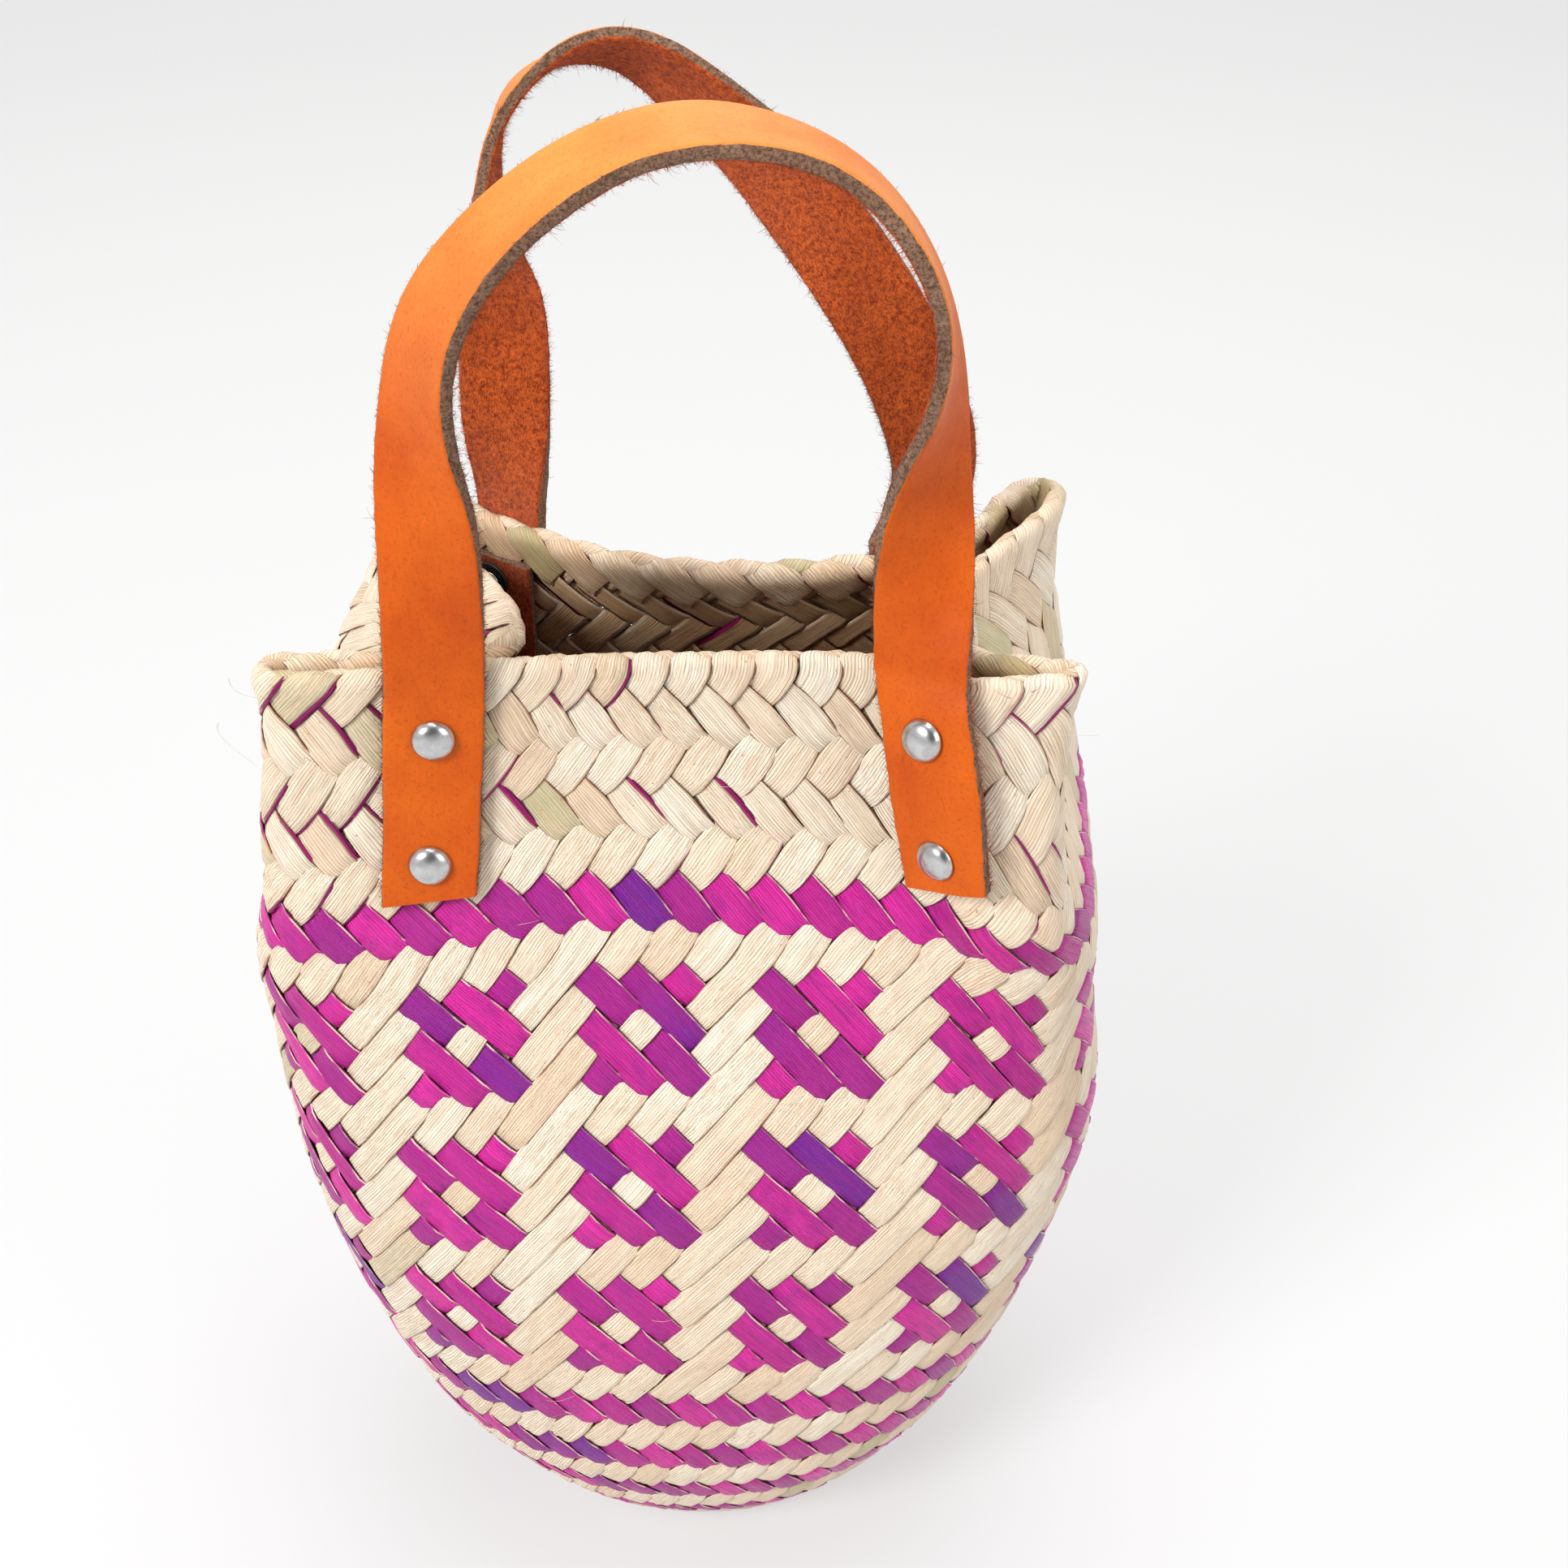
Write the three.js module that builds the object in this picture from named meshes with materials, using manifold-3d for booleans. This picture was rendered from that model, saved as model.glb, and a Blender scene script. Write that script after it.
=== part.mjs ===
// A small woven palm leaf handbag with two twisted leather handles.
// Millimetres, Z up, front face towards -Y, origin in the middle of the flat base.
import * as THREE from 'three';
import { mergeVertices } from 'three/addons/utils/BufferGeometryUtils.js';
import Module from 'manifold-3d';

const wasm = await Module();
wasm.setup();

// The basket
const basketHeight = 266;
const basketWidth = 199.6;
const basketDepth = 142;
const mouthWidth = 174;
const mouthDepth = 96;
const wallThickness = 2.2;
const rimThickness = 3.2;
const rimBandHeight = 7;
const baseThickness = 3;

// The leather handles
const strapWidth = 20;
const strapThickness = 3.2;
const handleRise = 105.8;
const tabLength = 54;
const shortTabLength = 46;
const easeLength = 22;

// The leather backing patches inside
const patchWidth = 20;
const patchThickness = 2;
const patchDrop = 9;
const patchHeight = 46;
const shortPatchWidth = 18;
const shortPatchHeight = 40;

// The rivets and the washers behind them
const rivetDrop = 14.5;
const rivetSpacing = 29.5;
const shortRivetDrop = 11.7;
const shortRivetSpacing = 26.2;
const capDiameter = 9.1;
const capHeight = 2.6;
const shankDiameter = 3;
const washerDiameter = 9;
const washerThickness = 0.8;
const tailThickness = 0.8;

// Room between pieces that touch, between leather and the uneven wall, and under a cap on
// flat and on bent leather
const gap = 0.3;
const wallGap = 0.55;
const capGap = 0.5;
const bentCapGap = 1;

// How fine the faces are
const columns = 80;
const archSteps = 34;
const roundSteps = 12;
const bendWeight = 9;
const pressWeight = 1.5;

// Level sections of the wall from the base (0) to the rim (1). Width and depth are shares
// of the basket's own, square is the exponent of the oval, shift moves it sideways as a
// share of the width, fold is how far it follows the folded mouth.
const sections = [
  { level: 0, width: 0.443, depth: 0.589, square: 2.2, shift: 0.009, fold: 0 },
  { level: 0.03, width: 0.5, depth: 0.676, square: 2.2, shift: 0.01, fold: 0 },
  { level: 0.09, width: 0.63, depth: 0.809, square: 2.25, shift: 0.0065, fold: 0 },
  { level: 0.2, width: 0.797, depth: 0.946, square: 2.35, shift: 0.0035, fold: 0 },
  { level: 0.35, width: 0.925, depth: 1, square: 2.5, shift: 0.005, fold: 0 },
  { level: 0.5, width: 0.996, depth: 0.953, square: 2.75, shift: 0.0065, fold: 0 },
  { level: 0.62, width: 1, depth: 0.858, square: 3.1, shift: -0.005, fold: 0.04 },
  { level: 0.74, width: 1.066, depth: 0.736, square: 3.6, shift: -0.0135, fold: 0.22 },
  { level: 0.86, width: 1.066, depth: 0.647, square: 4.3, shift: -0.027, fold: 0.52 },
  { level: 1, width: 0.893, depth: 0.602, square: 5, shift: -0.036, fold: 1 }
];

// The folded mouth seen from above, from the middle of the front round to the right.
// Shares of half the mouth's width and half its depth.
const mouth = [
  { place: 'front middle', x: 0, y: -0.794 },
  { place: 'front beside the right strap', x: 0.45, y: -0.818 },
  { place: 'front pressed under the right strap', x: 0.544, y: -0.909 },
  { place: 'front beyond the right strap', x: 0.649, y: -0.997 },
  { place: 'front right wing', x: 0.836, y: -1.004 },
  { place: 'front right lip', x: 0.92, y: -0.981 },
  { place: 'front right lip', x: 0.946, y: -0.905 },
  { place: 'front right lip', x: 0.899, y: -0.83 },
  { place: 'right side close behind the wing', x: 0.774, y: -0.786 },
  { place: 'right valley', x: 0.674, y: -0.691 },
  { place: 'right valley', x: 0.648, y: -0.473 },
  { place: 'right side', x: 0.742, y: 0.009 },
  { place: 'right side', x: 0.983, y: 0.625 },
  { place: 'rear right lip', x: 1.03, y: 0.852 },
  { place: 'rear right lip', x: 0.988, y: 0.985 },
  { place: 'rear right lip', x: 0.904, y: 0.928 },
  { place: 'rear bowed in', x: 0.721, y: 0.388 },
  { place: 'rear bowed in', x: 0.491, y: 0.161 },
  { place: 'rear middle', x: 0.188, y: 0.076 },
  { place: 'rear bowed in', x: -0.125, y: 0.189 },
  { place: 'rear bowed in', x: -0.421, y: 0.519 },
  { place: 'rear left lip', x: -0.669, y: 0.918 },
  { place: 'rear left lip', x: -0.753, y: 0.947 },
  { place: 'rear left lip', x: -0.774, y: 0.805 },
  { place: 'left side', x: -0.575, y: 0.265 },
  { place: 'left side', x: -0.434, y: -0.152 },
  { place: 'left valley', x: -0.382, y: -0.398 },
  { place: 'left valley', x: -0.392, y: -0.606 },
  { place: 'left side close behind the wing', x: -0.481, y: -0.705 },
  { place: 'left side close behind the wing', x: -0.794, y: -0.708 },
  { place: 'front left lip', x: -0.92, y: -0.731 },
  { place: 'front left lip', x: -0.962, y: -0.814 },
  { place: 'front left lip', x: -0.936, y: -0.913 },
  { place: 'front left wing', x: -0.815, y: -0.936 },
  { place: 'front beside the left strap', x: -0.442, y: -0.841 },
  { place: 'front', x: -0.209, y: -0.803 }
];

// Shares round the wall where the four corners lie on the mouth and on the ovals below.
const corners = [
  { mouth: 0, oval: 0 },
  { mouth: 0.1525, oval: 0.163 },
  { mouth: 0.335, oval: 0.337 },
  { mouth: 0.62, oval: 0.663 },
  { mouth: 0.8525, oval: 0.837 },
  { mouth: 1, oval: 1 }
];

// The front wall is pressed forward beside the right strap, this far below the folded mouth,
// and the press drifts this share of the way round as it runs down.
const pressDepth = 9.5;
const pressDrift = 0.042;

// Centre line of each handle above the rim, left to right. The columns are shares: x of half
// the mouth's width, y of half its depth, rise of the handle's rise. Turn is in degrees, 0
// where the strap lies flat on the wall and 90 where it lies flat like a bridge.
const frontArch = [
  { x: -0.555, y: -0.925, rise: 0, turn: 0 },
  { x: -0.525, y: -0.908, rise: 0.271, turn: 11 },
  { x: -0.524, y: -0.929, rise: 0.484, turn: 44 },
  { x: -0.467, y: -0.979, rise: 0.693, turn: 59 },
  { x: -0.246, y: -0.96, rise: 0.892, turn: 73 },
  { x: 0.046, y: -0.973, rise: 1, turn: 82 },
  { x: 0.36, y: -0.977, rise: 0.948, turn: 92 },
  { x: 0.541, y: -0.998, rise: 0.776, turn: 90 },
  { x: 0.588, y: -0.935, rise: 0.583, turn: 75 },
  { x: 0.563, y: -0.87, rise: 0.366, turn: 37 },
  { x: 0.57, y: -0.975, rise: 0, turn: -28 }
];
const rearArch = [
  { x: -0.44, y: 0.583, rise: 0, turn: -24 },
  { x: -0.445, y: 0.667, rise: 0.228, turn: 1 },
  { x: -0.44, y: 0.773, rise: 0.424, turn: 27 },
  { x: -0.469, y: 0.985, rise: 0.598, turn: 84 },
  { x: -0.413, y: 1.108, rise: 0.815, turn: 93 },
  { x: -0.154, y: 1.119, rise: 0.916, turn: 58 },
  { x: 0.14, y: 1.021, rise: 0.767, turn: 34 },
  { x: 0.38, y: 0.798, rise: 0.574, turn: 4 },
  { x: 0.58, y: 0.583, rise: 0.328, turn: -6 },
  { x: 0.66, y: 0.5, rise: 0.104, turn: -12 },
  { x: 0.6, y: 0.33, rise: 0, turn: -22 }
];

// Where the tabs run on the wall: x at the rim and at the tab's end, shares of half the
// mouth's width, and the part of the way round to look for them. The front right tab is
// cut a little shorter than the others.
const full = {
  length: tabLength,
  drop: rivetDrop,
  spacing: rivetSpacing,
  capGap,
  patch: { width: patchWidth, height: patchHeight }
};
const short = {
  length: shortTabLength,
  drop: shortRivetDrop,
  spacing: shortRivetSpacing,
  capGap: bentCapGap,
  patch: { width: shortPatchWidth, height: shortPatchHeight }
};
const tabs = {
  front_left: { rim: -0.547, end: -0.606, from: -0.14, to: 0, ...full },
  front_right: { rim: 0.572, end: 0.655, from: 0, to: 0.14, ...short },
  rear_left: { rim: -0.462, end: -0.52, from: 0.5, to: 0.6, ...full },
  rear_right: { rim: 0.595, end: 0.65, from: 0.36, to: 0.5, ...full }
};

// Colours taken from the object
const palmColour = 0xd9c6a0;
const leatherColour = 0xc96f2e;
const suedeColour = 0xa2501f;
const nickelColour = 0xb9b6ae;
const blackColour = 0x1d1b1a;

function clamp(value, low, high) {
  return Math.min(high, Math.max(low, value));
}

function smooth(from, to, value) {
  const part = clamp((value - from) / (to - from), 0, 1);
  return part * part * (3 - 2 * part);
}

// Smooth curve through one column of a table, without overshoot.
function column(table, key, name, at) {
  let row = 0;
  while (row < table.length - 2 && at > table[row + 1][key]) row += 1;
  const slope = i => (table[i + 1][name] - table[i][name]) / (table[i + 1][key] - table[i][key]);
  const tangent = i => {
    if (i === 0) return slope(0);
    if (i === table.length - 1) return slope(i - 1);
    const before = slope(i - 1);
    const after = slope(i);
    return before * after <= 0 ? 0 : (2 * before * after) / (before + after);
  };
  const width = table[row + 1][key] - table[row][key];
  const t = clamp((at - table[row][key]) / width, 0, 1);
  const start = table[row][name] * (1 + 2 * t) * (1 - t) ** 2;
  const leave = tangent(row) * width * t * (1 - t) ** 2;
  const end = table[row + 1][name] * t * t * (3 - 2 * t);
  const arrive = tangent(row + 1) * width * t * t * (t - 1);
  return start + leave + end + arrive;
}

// Straight steps through one column of a table.
function straight(table, key, name, at) {
  let row = 0;
  while (row < table.length - 2 && at > table[row + 1][key]) row += 1;
  const share = (at - table[row][key]) / (table[row + 1][key] - table[row][key]);
  return table[row][name] + share * (table[row + 1][name] - table[row][name]);
}

// A closed flat line that can be asked for the point at any share of its length.
class Loop {
  constructor(points) {
    this.points = points;
    this.sums = [0];
    for (let i = 0; i < points.length; i += 1) {
      const next = points[(i + 1) % points.length];
      this.sums.push(this.sums[i] + points[i].distanceTo(next));
    }
  }

  at(share) {
    const whole = this.sums[this.points.length];
    const goal = (share - Math.floor(share)) * whole;
    let low = 0;
    let high = this.points.length;
    while (high - low > 1) {
      const middle = (low + high) >> 1;
      if (this.sums[middle] <= goal) low = middle;
      else high = middle;
    }
    const part = (goal - this.sums[low]) / (this.sums[low + 1] - this.sums[low]);
    const next = this.points[(low + 1) % this.points.length];
    return this.points[low].clone().lerp(next, part);
  }
}

const mouthPoints = mouth.map(row => {
  return new THREE.Vector3((row.x * mouthWidth) / 2, (row.y * mouthDepth) / 2, 0);
});
const mouthCurve = new THREE.CatmullRomCurve3(mouthPoints, true, 'centripetal');
const mouthLoop = new Loop(mouthCurve.getPoints(mouth.length * 20).slice(0, -1));
const ovals = new Map();

function oval(level) {
  if (!ovals.has(level)) {
    const a = (column(sections, 'level', 'width', level) * basketWidth) / 2;
    const b = (column(sections, 'level', 'depth', level) * basketDepth) / 2;
    const power = 2 / column(sections, 'level', 'square', level);
    const points = [];
    for (let i = 0; i < 480; i += 1) {
      const angle = -Math.PI / 2 + (2 * Math.PI * i) / 480;
      const c = Math.cos(angle);
      const s = Math.sin(angle);
      const x = a * Math.sign(c) * Math.abs(c) ** power;
      const y = b * Math.sign(s) * Math.abs(s) ** power;
      points.push(new THREE.Vector3(x, y, 0));
    }
    ovals.set(level, new Loop(points));
  }
  return ovals.get(level);
}

// Outer face of the wall: round is the share of the way round, level runs from 0 to 1.
function wall(round, level) {
  const share = round - Math.floor(round);
  const fold = column(sections, 'level', 'fold', level);
  const plain = oval(level).at(straight(corners, 'mouth', 'oval', share));
  plain.x += column(sections, 'level', 'shift', level) * basketWidth;
  const point = plain.lerp(mouthLoop.at(share), fold);
  const place = share - pressDrift * (1 - fold);
  const press = smooth(0.062, 0.09, place) * (1 - smooth(0.1, 0.15, place));
  point.y -= pressDepth * press * (1 - fold ** 2) * smooth(0.68, 0.8, level);
  point.z = level * basketHeight;
  return point;
}

// Point, outward normal and length of one whole turn at that place on the wall.
function wallFrame(round, level) {
  const low = Math.max(0, level - 0.004);
  const high = Math.min(1, level + 0.004);
  const across = wall(round + 0.002, level).sub(wall(round - 0.002, level));
  const up = wall(round, high).sub(wall(round, low));
  const turnLength = across.length() / 0.004;
  const normal = across.cross(up).normalize();
  return { point: wall(round, level), normal, turnLength };
}

function onWall(round, level, lift) {
  const frame = wallFrame(round, level);
  return frame.point.addScaledVector(frame.normal, lift);
}

function wallDepth(level) {
  const start = 1 - rimBandHeight / basketHeight;
  const end = 1 - (rimBandHeight - 3) / basketHeight;
  return wallThickness + (rimThickness - wallThickness) * smooth(start, end, level);
}

// A closed solid from rings of points: every ring has the same number of points, the first
// and the last ring are closed by a fan to their own middle points.
function skin(rings, firstMiddle, lastMiddle) {
  const size = rings[0].length;
  const positions = [];
  const triangles = [];
  rings.forEach(ring => ring.forEach(point => positions.push(point.x, point.y, point.z)));
  for (let r = 0; r < rings.length - 1; r += 1) {
    for (let i = 0; i < size; i += 1) {
      const a = r * size + i;
      const b = r * size + ((i + 1) % size);
      triangles.push(a, b, b + size, a, b + size, a + size);
    }
  }
  const first = rings.length * size;
  positions.push(firstMiddle.x, firstMiddle.y, firstMiddle.z);
  positions.push(lastMiddle.x, lastMiddle.y, lastMiddle.z);
  const lastRing = (rings.length - 1) * size;
  for (let i = 0; i < size; i += 1) {
    const next = (i + 1) % size;
    triangles.push(first, next, i);
    triangles.push(first + 1, lastRing + i, lastRing + next);
  }
  const geometry = new THREE.BufferGeometry();
  geometry.setAttribute('position', new THREE.Float32BufferAttribute(positions, 3));
  geometry.setIndex(triangles);
  return geometry;
}

function toSolid(geometry) {
  const bare = geometry.clone();
  bare.deleteAttribute('normal');
  bare.deleteAttribute('uv');
  const merged = mergeVertices(bare, 1e-4);
  const vertProperties = Float32Array.from(merged.attributes.position.array);
  const triVerts = Uint32Array.from(merged.index.array);
  return new wasm.Manifold(new wasm.Mesh({ numProp: 3, vertProperties, triVerts }));
}

function toGeometry(solid) {
  const mesh = solid.getMesh();
  const geometry = new THREE.BufferGeometry();
  const positions = Float32Array.from(mesh.vertProperties);
  geometry.setAttribute('position', new THREE.BufferAttribute(positions, 3));
  geometry.setIndex(new THREE.BufferAttribute(Uint32Array.from(mesh.triVerts), 1));
  return geometry;
}

// Shares round the wall, closer together where the mouth turns sharply.
function roundShares(count) {
  const fine = 1600;
  const sums = [0];
  let direction = mouthLoop.at(0).sub(mouthLoop.at(-1 / fine)).normalize();
  for (let i = 0; i < fine; i += 1) {
    const step = mouthLoop.at((i + 1) / fine).sub(mouthLoop.at(i / fine));
    const length = step.length();
    const heading = step.normalize();
    const bend = heading.angleTo(direction);
    const share = i / fine;
    const pressed = smooth(0.06, 0.075, share) * (1 - smooth(0.125, 0.14, share));
    sums.push(sums[i] + length * (1 + pressWeight * pressed) + bendWeight * bend);
    direction = heading;
  }
  const shares = [];
  let place = 0;
  for (let i = 0; i < count; i += 1) {
    const goal = (sums[fine] * i) / count;
    while (sums[place + 1] < goal) place += 1;
    shares.push((place + (goal - sums[place]) / (sums[place + 1] - sums[place])) / fine);
  }
  return shares;
}

// The basket: outer face, rounded rim, inner face and a flat base with a level floor.
function basketGeometry() {
  const shares = roundShares(columns);
  const rimLevel = 1 - 1.2 / basketHeight;
  const bandLevel = 1 - (rimBandHeight + 1) / basketHeight;
  const levels = [0.015, 0.04, 0.075, 0.12, 0.175, 0.24, 0.31, 0.38, 0.45, 0.515, 0.575];
  levels.push(0.63, 0.68, 0.73, 0.77, 0.805, 0.84, 0.87, 0.9, 0.925, 0.95, bandLevel, rimLevel);
  const rings = [shares.map(share => wall(share, 0))];
  levels.forEach(level => rings.push(shares.map(share => wall(share, level))));
  rings.push(shares.map(share => {
    const point = onWall(share, 1, -rimThickness / 2);
    point.z = basketHeight;
    return point;
  }));
  levels.slice(1).reverse().forEach(level => {
    rings.push(shares.map(share => {
      const point = onWall(share, level, -wallDepth(level));
      point.z = Math.min(point.z, level * basketHeight + wallThickness);
      if (level === rimLevel) point.z = level * basketHeight;
      return point;
    }));
  });
  rings.push(shares.map(share => {
    const point = wall(share, 0.012).multiplyScalar(1 - wallThickness / (basketWidth * 0.22));
    point.z = baseThickness;
    return point;
  }));
  const under = new THREE.Vector3(0, 0, 0);
  const floor = new THREE.Vector3(0, 0, baseThickness);
  return skin(rings, under, floor);
}

// The share round the wall where a tab's middle line lies at a given level.
function tabRound(tab, level) {
  const endLevel = 1 - tab.length / basketHeight;
  const share = clamp((level - endLevel) / (1 - endLevel), 0, 1);
  const goal = ((tab.end + (tab.rim - tab.end) * share) * mouthWidth) / 2;
  const rising = wall(tab.to, level).x > wall(tab.from, level).x;
  let low = tab.from;
  let high = tab.to;
  for (let i = 0; i < 24; i += 1) {
    const middle = (low + high) / 2;
    const past = wall(middle, level).x > goal;
    if (past === rising) high = middle;
    else low = middle;
  }
  return (low + high) / 2;
}

// One ring of a flat strip that lies on the wall, seen from its lower end: outer face from
// left to right, then the face towards the wall back again.
function stripRing(tab, level, width, near, far) {
  const middle = tabRound(tab, level);
  const reach = width / 2 / wallFrame(middle, level).turnLength;
  const chord = wall(middle + reach, level).distanceTo(wall(middle - reach, level));
  const turn = chord / (2 * reach);
  const steps = [-0.5, -0.17, 0.17, 0.5];
  const outer = steps.map(step => onWall(middle + (step * width) / turn, level, far));
  const inner = steps.map(step => onWall(middle + (step * width) / turn, level, near));
  return outer.concat(inner.reverse());
}

function middleOf(ring) {
  const sum = new THREE.Vector3();
  ring.forEach(point => sum.add(point));
  return sum.divideScalar(ring.length);
}

// Makes sure the faces point outwards.
function outward(geometry) {
  const p = geometry.attributes.position;
  const index = geometry.index;
  let volume = 0;
  const a = new THREE.Vector3();
  const b = new THREE.Vector3();
  const c = new THREE.Vector3();
  for (let i = 0; i < index.count; i += 3) {
    a.fromBufferAttribute(p, index.getX(i));
    b.fromBufferAttribute(p, index.getX(i + 1));
    c.fromBufferAttribute(p, index.getX(i + 2));
    volume += a.dot(b.clone().cross(c));
  }
  if (volume < 0) {
    for (let i = 0; i < index.count; i += 3) {
      const first = index.getX(i);
      index.setX(i, index.getX(i + 1));
      index.setX(i + 1, first);
    }
  }
  return geometry;
}

// A handle: two tabs that lie on the wall and a twisting arch between them. The side is
// -1 for the front handle and 1 for the rear one.
function handleGeometry(arch, leftTab, rightTab, side) {
  const near = wallGap;
  const far = wallGap + strapThickness;
  const tabRings = tab => [0, 0.14, 0.28, 0.42, 0.56, 0.7, 0.84, 1].map(share => {
    const level = 1 - ((1 - share) * tab.length) / basketHeight;
    return stripRing(tab, level, strapWidth, near, far);
  });
  const swap = ring => ring.map((point, k) => ring[k < 4 ? 3 - k : 11 - k]);
  let leftRings = tabRings(leftTab);
  let rightRings = tabRings(rightTab);
  if (side > 0) leftRings = leftRings.map(swap);
  else rightRings = rightRings.map(swap);
  const line = arch.map(row => {
    const x = (row.x * mouthWidth) / 2;
    const y = (row.y * mouthDepth) / 2;
    return new THREE.Vector3(x, y, basketHeight + row.rise * handleRise);
  });
  const leftRim = leftRings[leftRings.length - 1];
  const rightRim = rightRings[rightRings.length - 1];
  line[0].copy(middleOf(leftRim));
  line[line.length - 1].copy(middleOf(rightRim));
  const path = new THREE.CatmullRomCurve3(line, false, 'centripetal');
  const turns = arch.map((row, i) => ({ step: i / (arch.length - 1), turn: row.turn }));
  const back = new THREE.Vector3(0, 1, 0);
  const pathLength = path.getLength();
  const archRings = [];
  for (let i = 1; i < archSteps; i += 1) {
    const step = path.getUtoTmapping(i / archSteps);
    const centre = path.getPoint(step);
    const along = path.getTangent(step);
    const angle = THREE.MathUtils.degToRad(column(turns, 'step', 'turn', step));
    const upright = back.clone().addScaledVector(along, -back.dot(along)).normalize();
    const sideways = along.clone().cross(upright);
    const inner = sideways.multiplyScalar(-Math.cos(angle));
    inner.addScaledVector(upright, side * Math.sin(angle)).normalize();
    const smoothFace = inner.clone().cross(along).multiplyScalar(-side);
    const steps = [-0.5, -0.17, 0.17, 0.5];
    const face = (share, lift) => {
      return centre.clone().addScaledVector(inner, share * strapWidth)
        .addScaledVector(smoothFace, lift * strapThickness);
    };
    const ring = steps.map(share => face(share, 0.5));
    ring.push(...steps.map(share => face(-share, -0.5)));
    const distance = (i / archSteps) * pathLength;
    const fromLeft = 1 - smooth(0, easeLength, distance);
    const fromRight = 1 - smooth(0, easeLength, pathLength - distance);
    ring.forEach((point, k) => {
      const leftPoint = leftRim[k].clone().add(centre).sub(line[0]);
      const rightPoint = rightRim[k].clone().add(centre).sub(line[line.length - 1]);
      point.lerp(leftPoint, fromLeft).lerp(rightPoint, fromRight);
    });
    archRings.push(ring);
  }
  const rings = leftRings.concat(archRings, rightRings.reverse());
  return outward(skin(rings, middleOf(rings[0]), middleOf(rings[rings.length - 1])));
}

function patchGeometry(tab) {
  const near = -(wallThickness + wallGap);
  const far = near - patchThickness;
  const rings = [0, 0.12, 0.25, 0.37, 0.5, 0.62, 0.75, 0.87, 1].map(share => {
    const level = 1 - (patchDrop + tab.patch.height * share) / basketHeight;
    return stripRing(tab, level, tab.patch.width, near, far);
  });
  return outward(skin(rings, middleOf(rings[0]), middleOf(rings[rings.length - 1])));
}

// Turns a profile of radius and height about its own axis.
function turnedGeometry(profile) {
  const points = profile.map(row => new THREE.Vector2(row.radius, row.height));
  const geometry = new THREE.LatheGeometry(points, roundSteps);
  geometry.rotateX(Math.PI / 2);
  geometry.deleteAttribute('normal');
  geometry.deleteAttribute('uv');
  return outward(mergeVertices(geometry, 1e-4));
}

// How far a leather face rises along a rivet's axis within a radius of it: the farthest
// place for a face outside the wall (side 1) or inside it (side -1).
function faceReach(tab, drop, lift, radius, side) {
  const level = 1 - drop / basketHeight;
  const middle = tabRound(tab, level);
  const axis = wallFrame(middle, level);
  let reach = lift * side;
  for (let i = 0; i < 16; i += 1) {
    const angle = (Math.PI * i) / 8;
    const round = middle + (radius * Math.cos(angle)) / axis.turnLength;
    const height = level + (radius * Math.sin(angle)) / basketHeight;
    const point = onWall(round, height, lift).sub(axis.point);
    reach = Math.max(reach, side * point.dot(axis.normal));
  }
  return reach * side;
}

// Heights along a rivet's axis, from the wall's outer face: under the cap, the washer's face
// on the patch, and the inner end of the shank.
function rivetHeights(tab, drop) {
  const strapFace = wallGap + strapThickness;
  const patchFace = -(wallThickness + wallGap + patchThickness);
  const seat = faceReach(tab, drop, strapFace, capDiameter / 2, 1) + tab.capGap;
  const rest = faceReach(tab, drop, patchFace, washerDiameter / 2, -1) - tab.capGap;
  return { seat, rest, inside: rest - washerThickness - gap };
}

function rivetProfile(heights) {
  const seat = heights.seat;
  const inside = heights.inside;
  const radius = capDiameter / 2;
  const shank = shankDiameter / 2;
  const tail = shank + 1.3;
  return [
    { radius: 0, height: inside - tailThickness },
    { radius: tail - 0.3, height: inside - tailThickness },
    { radius: tail, height: inside - tailThickness * 0.6 },
    { radius: tail, height: inside },
    { radius: shank, height: inside },
    { radius: shank, height: seat },
    { radius: radius, height: seat },
    { radius: radius, height: seat + 0.5 },
    { radius: radius * 0.88, height: seat + capHeight * 0.56 },
    { radius: radius * 0.62, height: seat + capHeight * 0.84 },
    { radius: radius * 0.32, height: seat + capHeight * 0.97 },
    { radius: 0, height: seat + capHeight }
  ];
}

function washerProfile(heights) {
  const top = heights.rest;
  const hole = shankDiameter / 2 + gap;
  const radius = washerDiameter / 2;
  return [
    { radius: hole, height: top - washerThickness },
    { radius: radius, height: top - washerThickness },
    { radius: radius, height: top },
    { radius: hole, height: top },
    { radius: hole, height: top - washerThickness }
  ];
}

function drillProfile() {
  const radius = shankDiameter / 2 + gap;
  const reach = wallGap + strapThickness + 3;
  const depth = wallThickness + wallGap + patchThickness + 1.2;
  return [
    { radius: 0, height: -depth },
    { radius: radius, height: -depth },
    { radius: radius, height: reach },
    { radius: 0, height: reach }
  ];
}

// Puts a turned piece on the wall with its axis along the wall's normal.
function setOnWall(geometry, tab, drop) {
  const level = 1 - drop / basketHeight;
  const frame = wallFrame(tabRound(tab, level), level);
  const turn = new THREE.Quaternion();
  turn.setFromUnitVectors(new THREE.Vector3(0, 0, 1), frame.normal);
  const place = new THREE.Matrix4();
  place.compose(frame.point, turn, new THREE.Vector3(1, 1, 1));
  return geometry.clone().applyMatrix4(place);
}

function material(colour, roughness, metalness) {
  return new THREE.MeshStandardMaterial({ color: colour, roughness, metalness });
}

const group = new THREE.Group();

function addPiece(name, geometry, look) {
  const piece = new THREE.Mesh(geometry, look);
  piece.name = name;
  group.add(piece);
}

const drill = turnedGeometry(drillProfile());

function dropsOf(tab) {
  return { upper: tab.drop, lower: tab.drop + tab.spacing };
}

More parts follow.
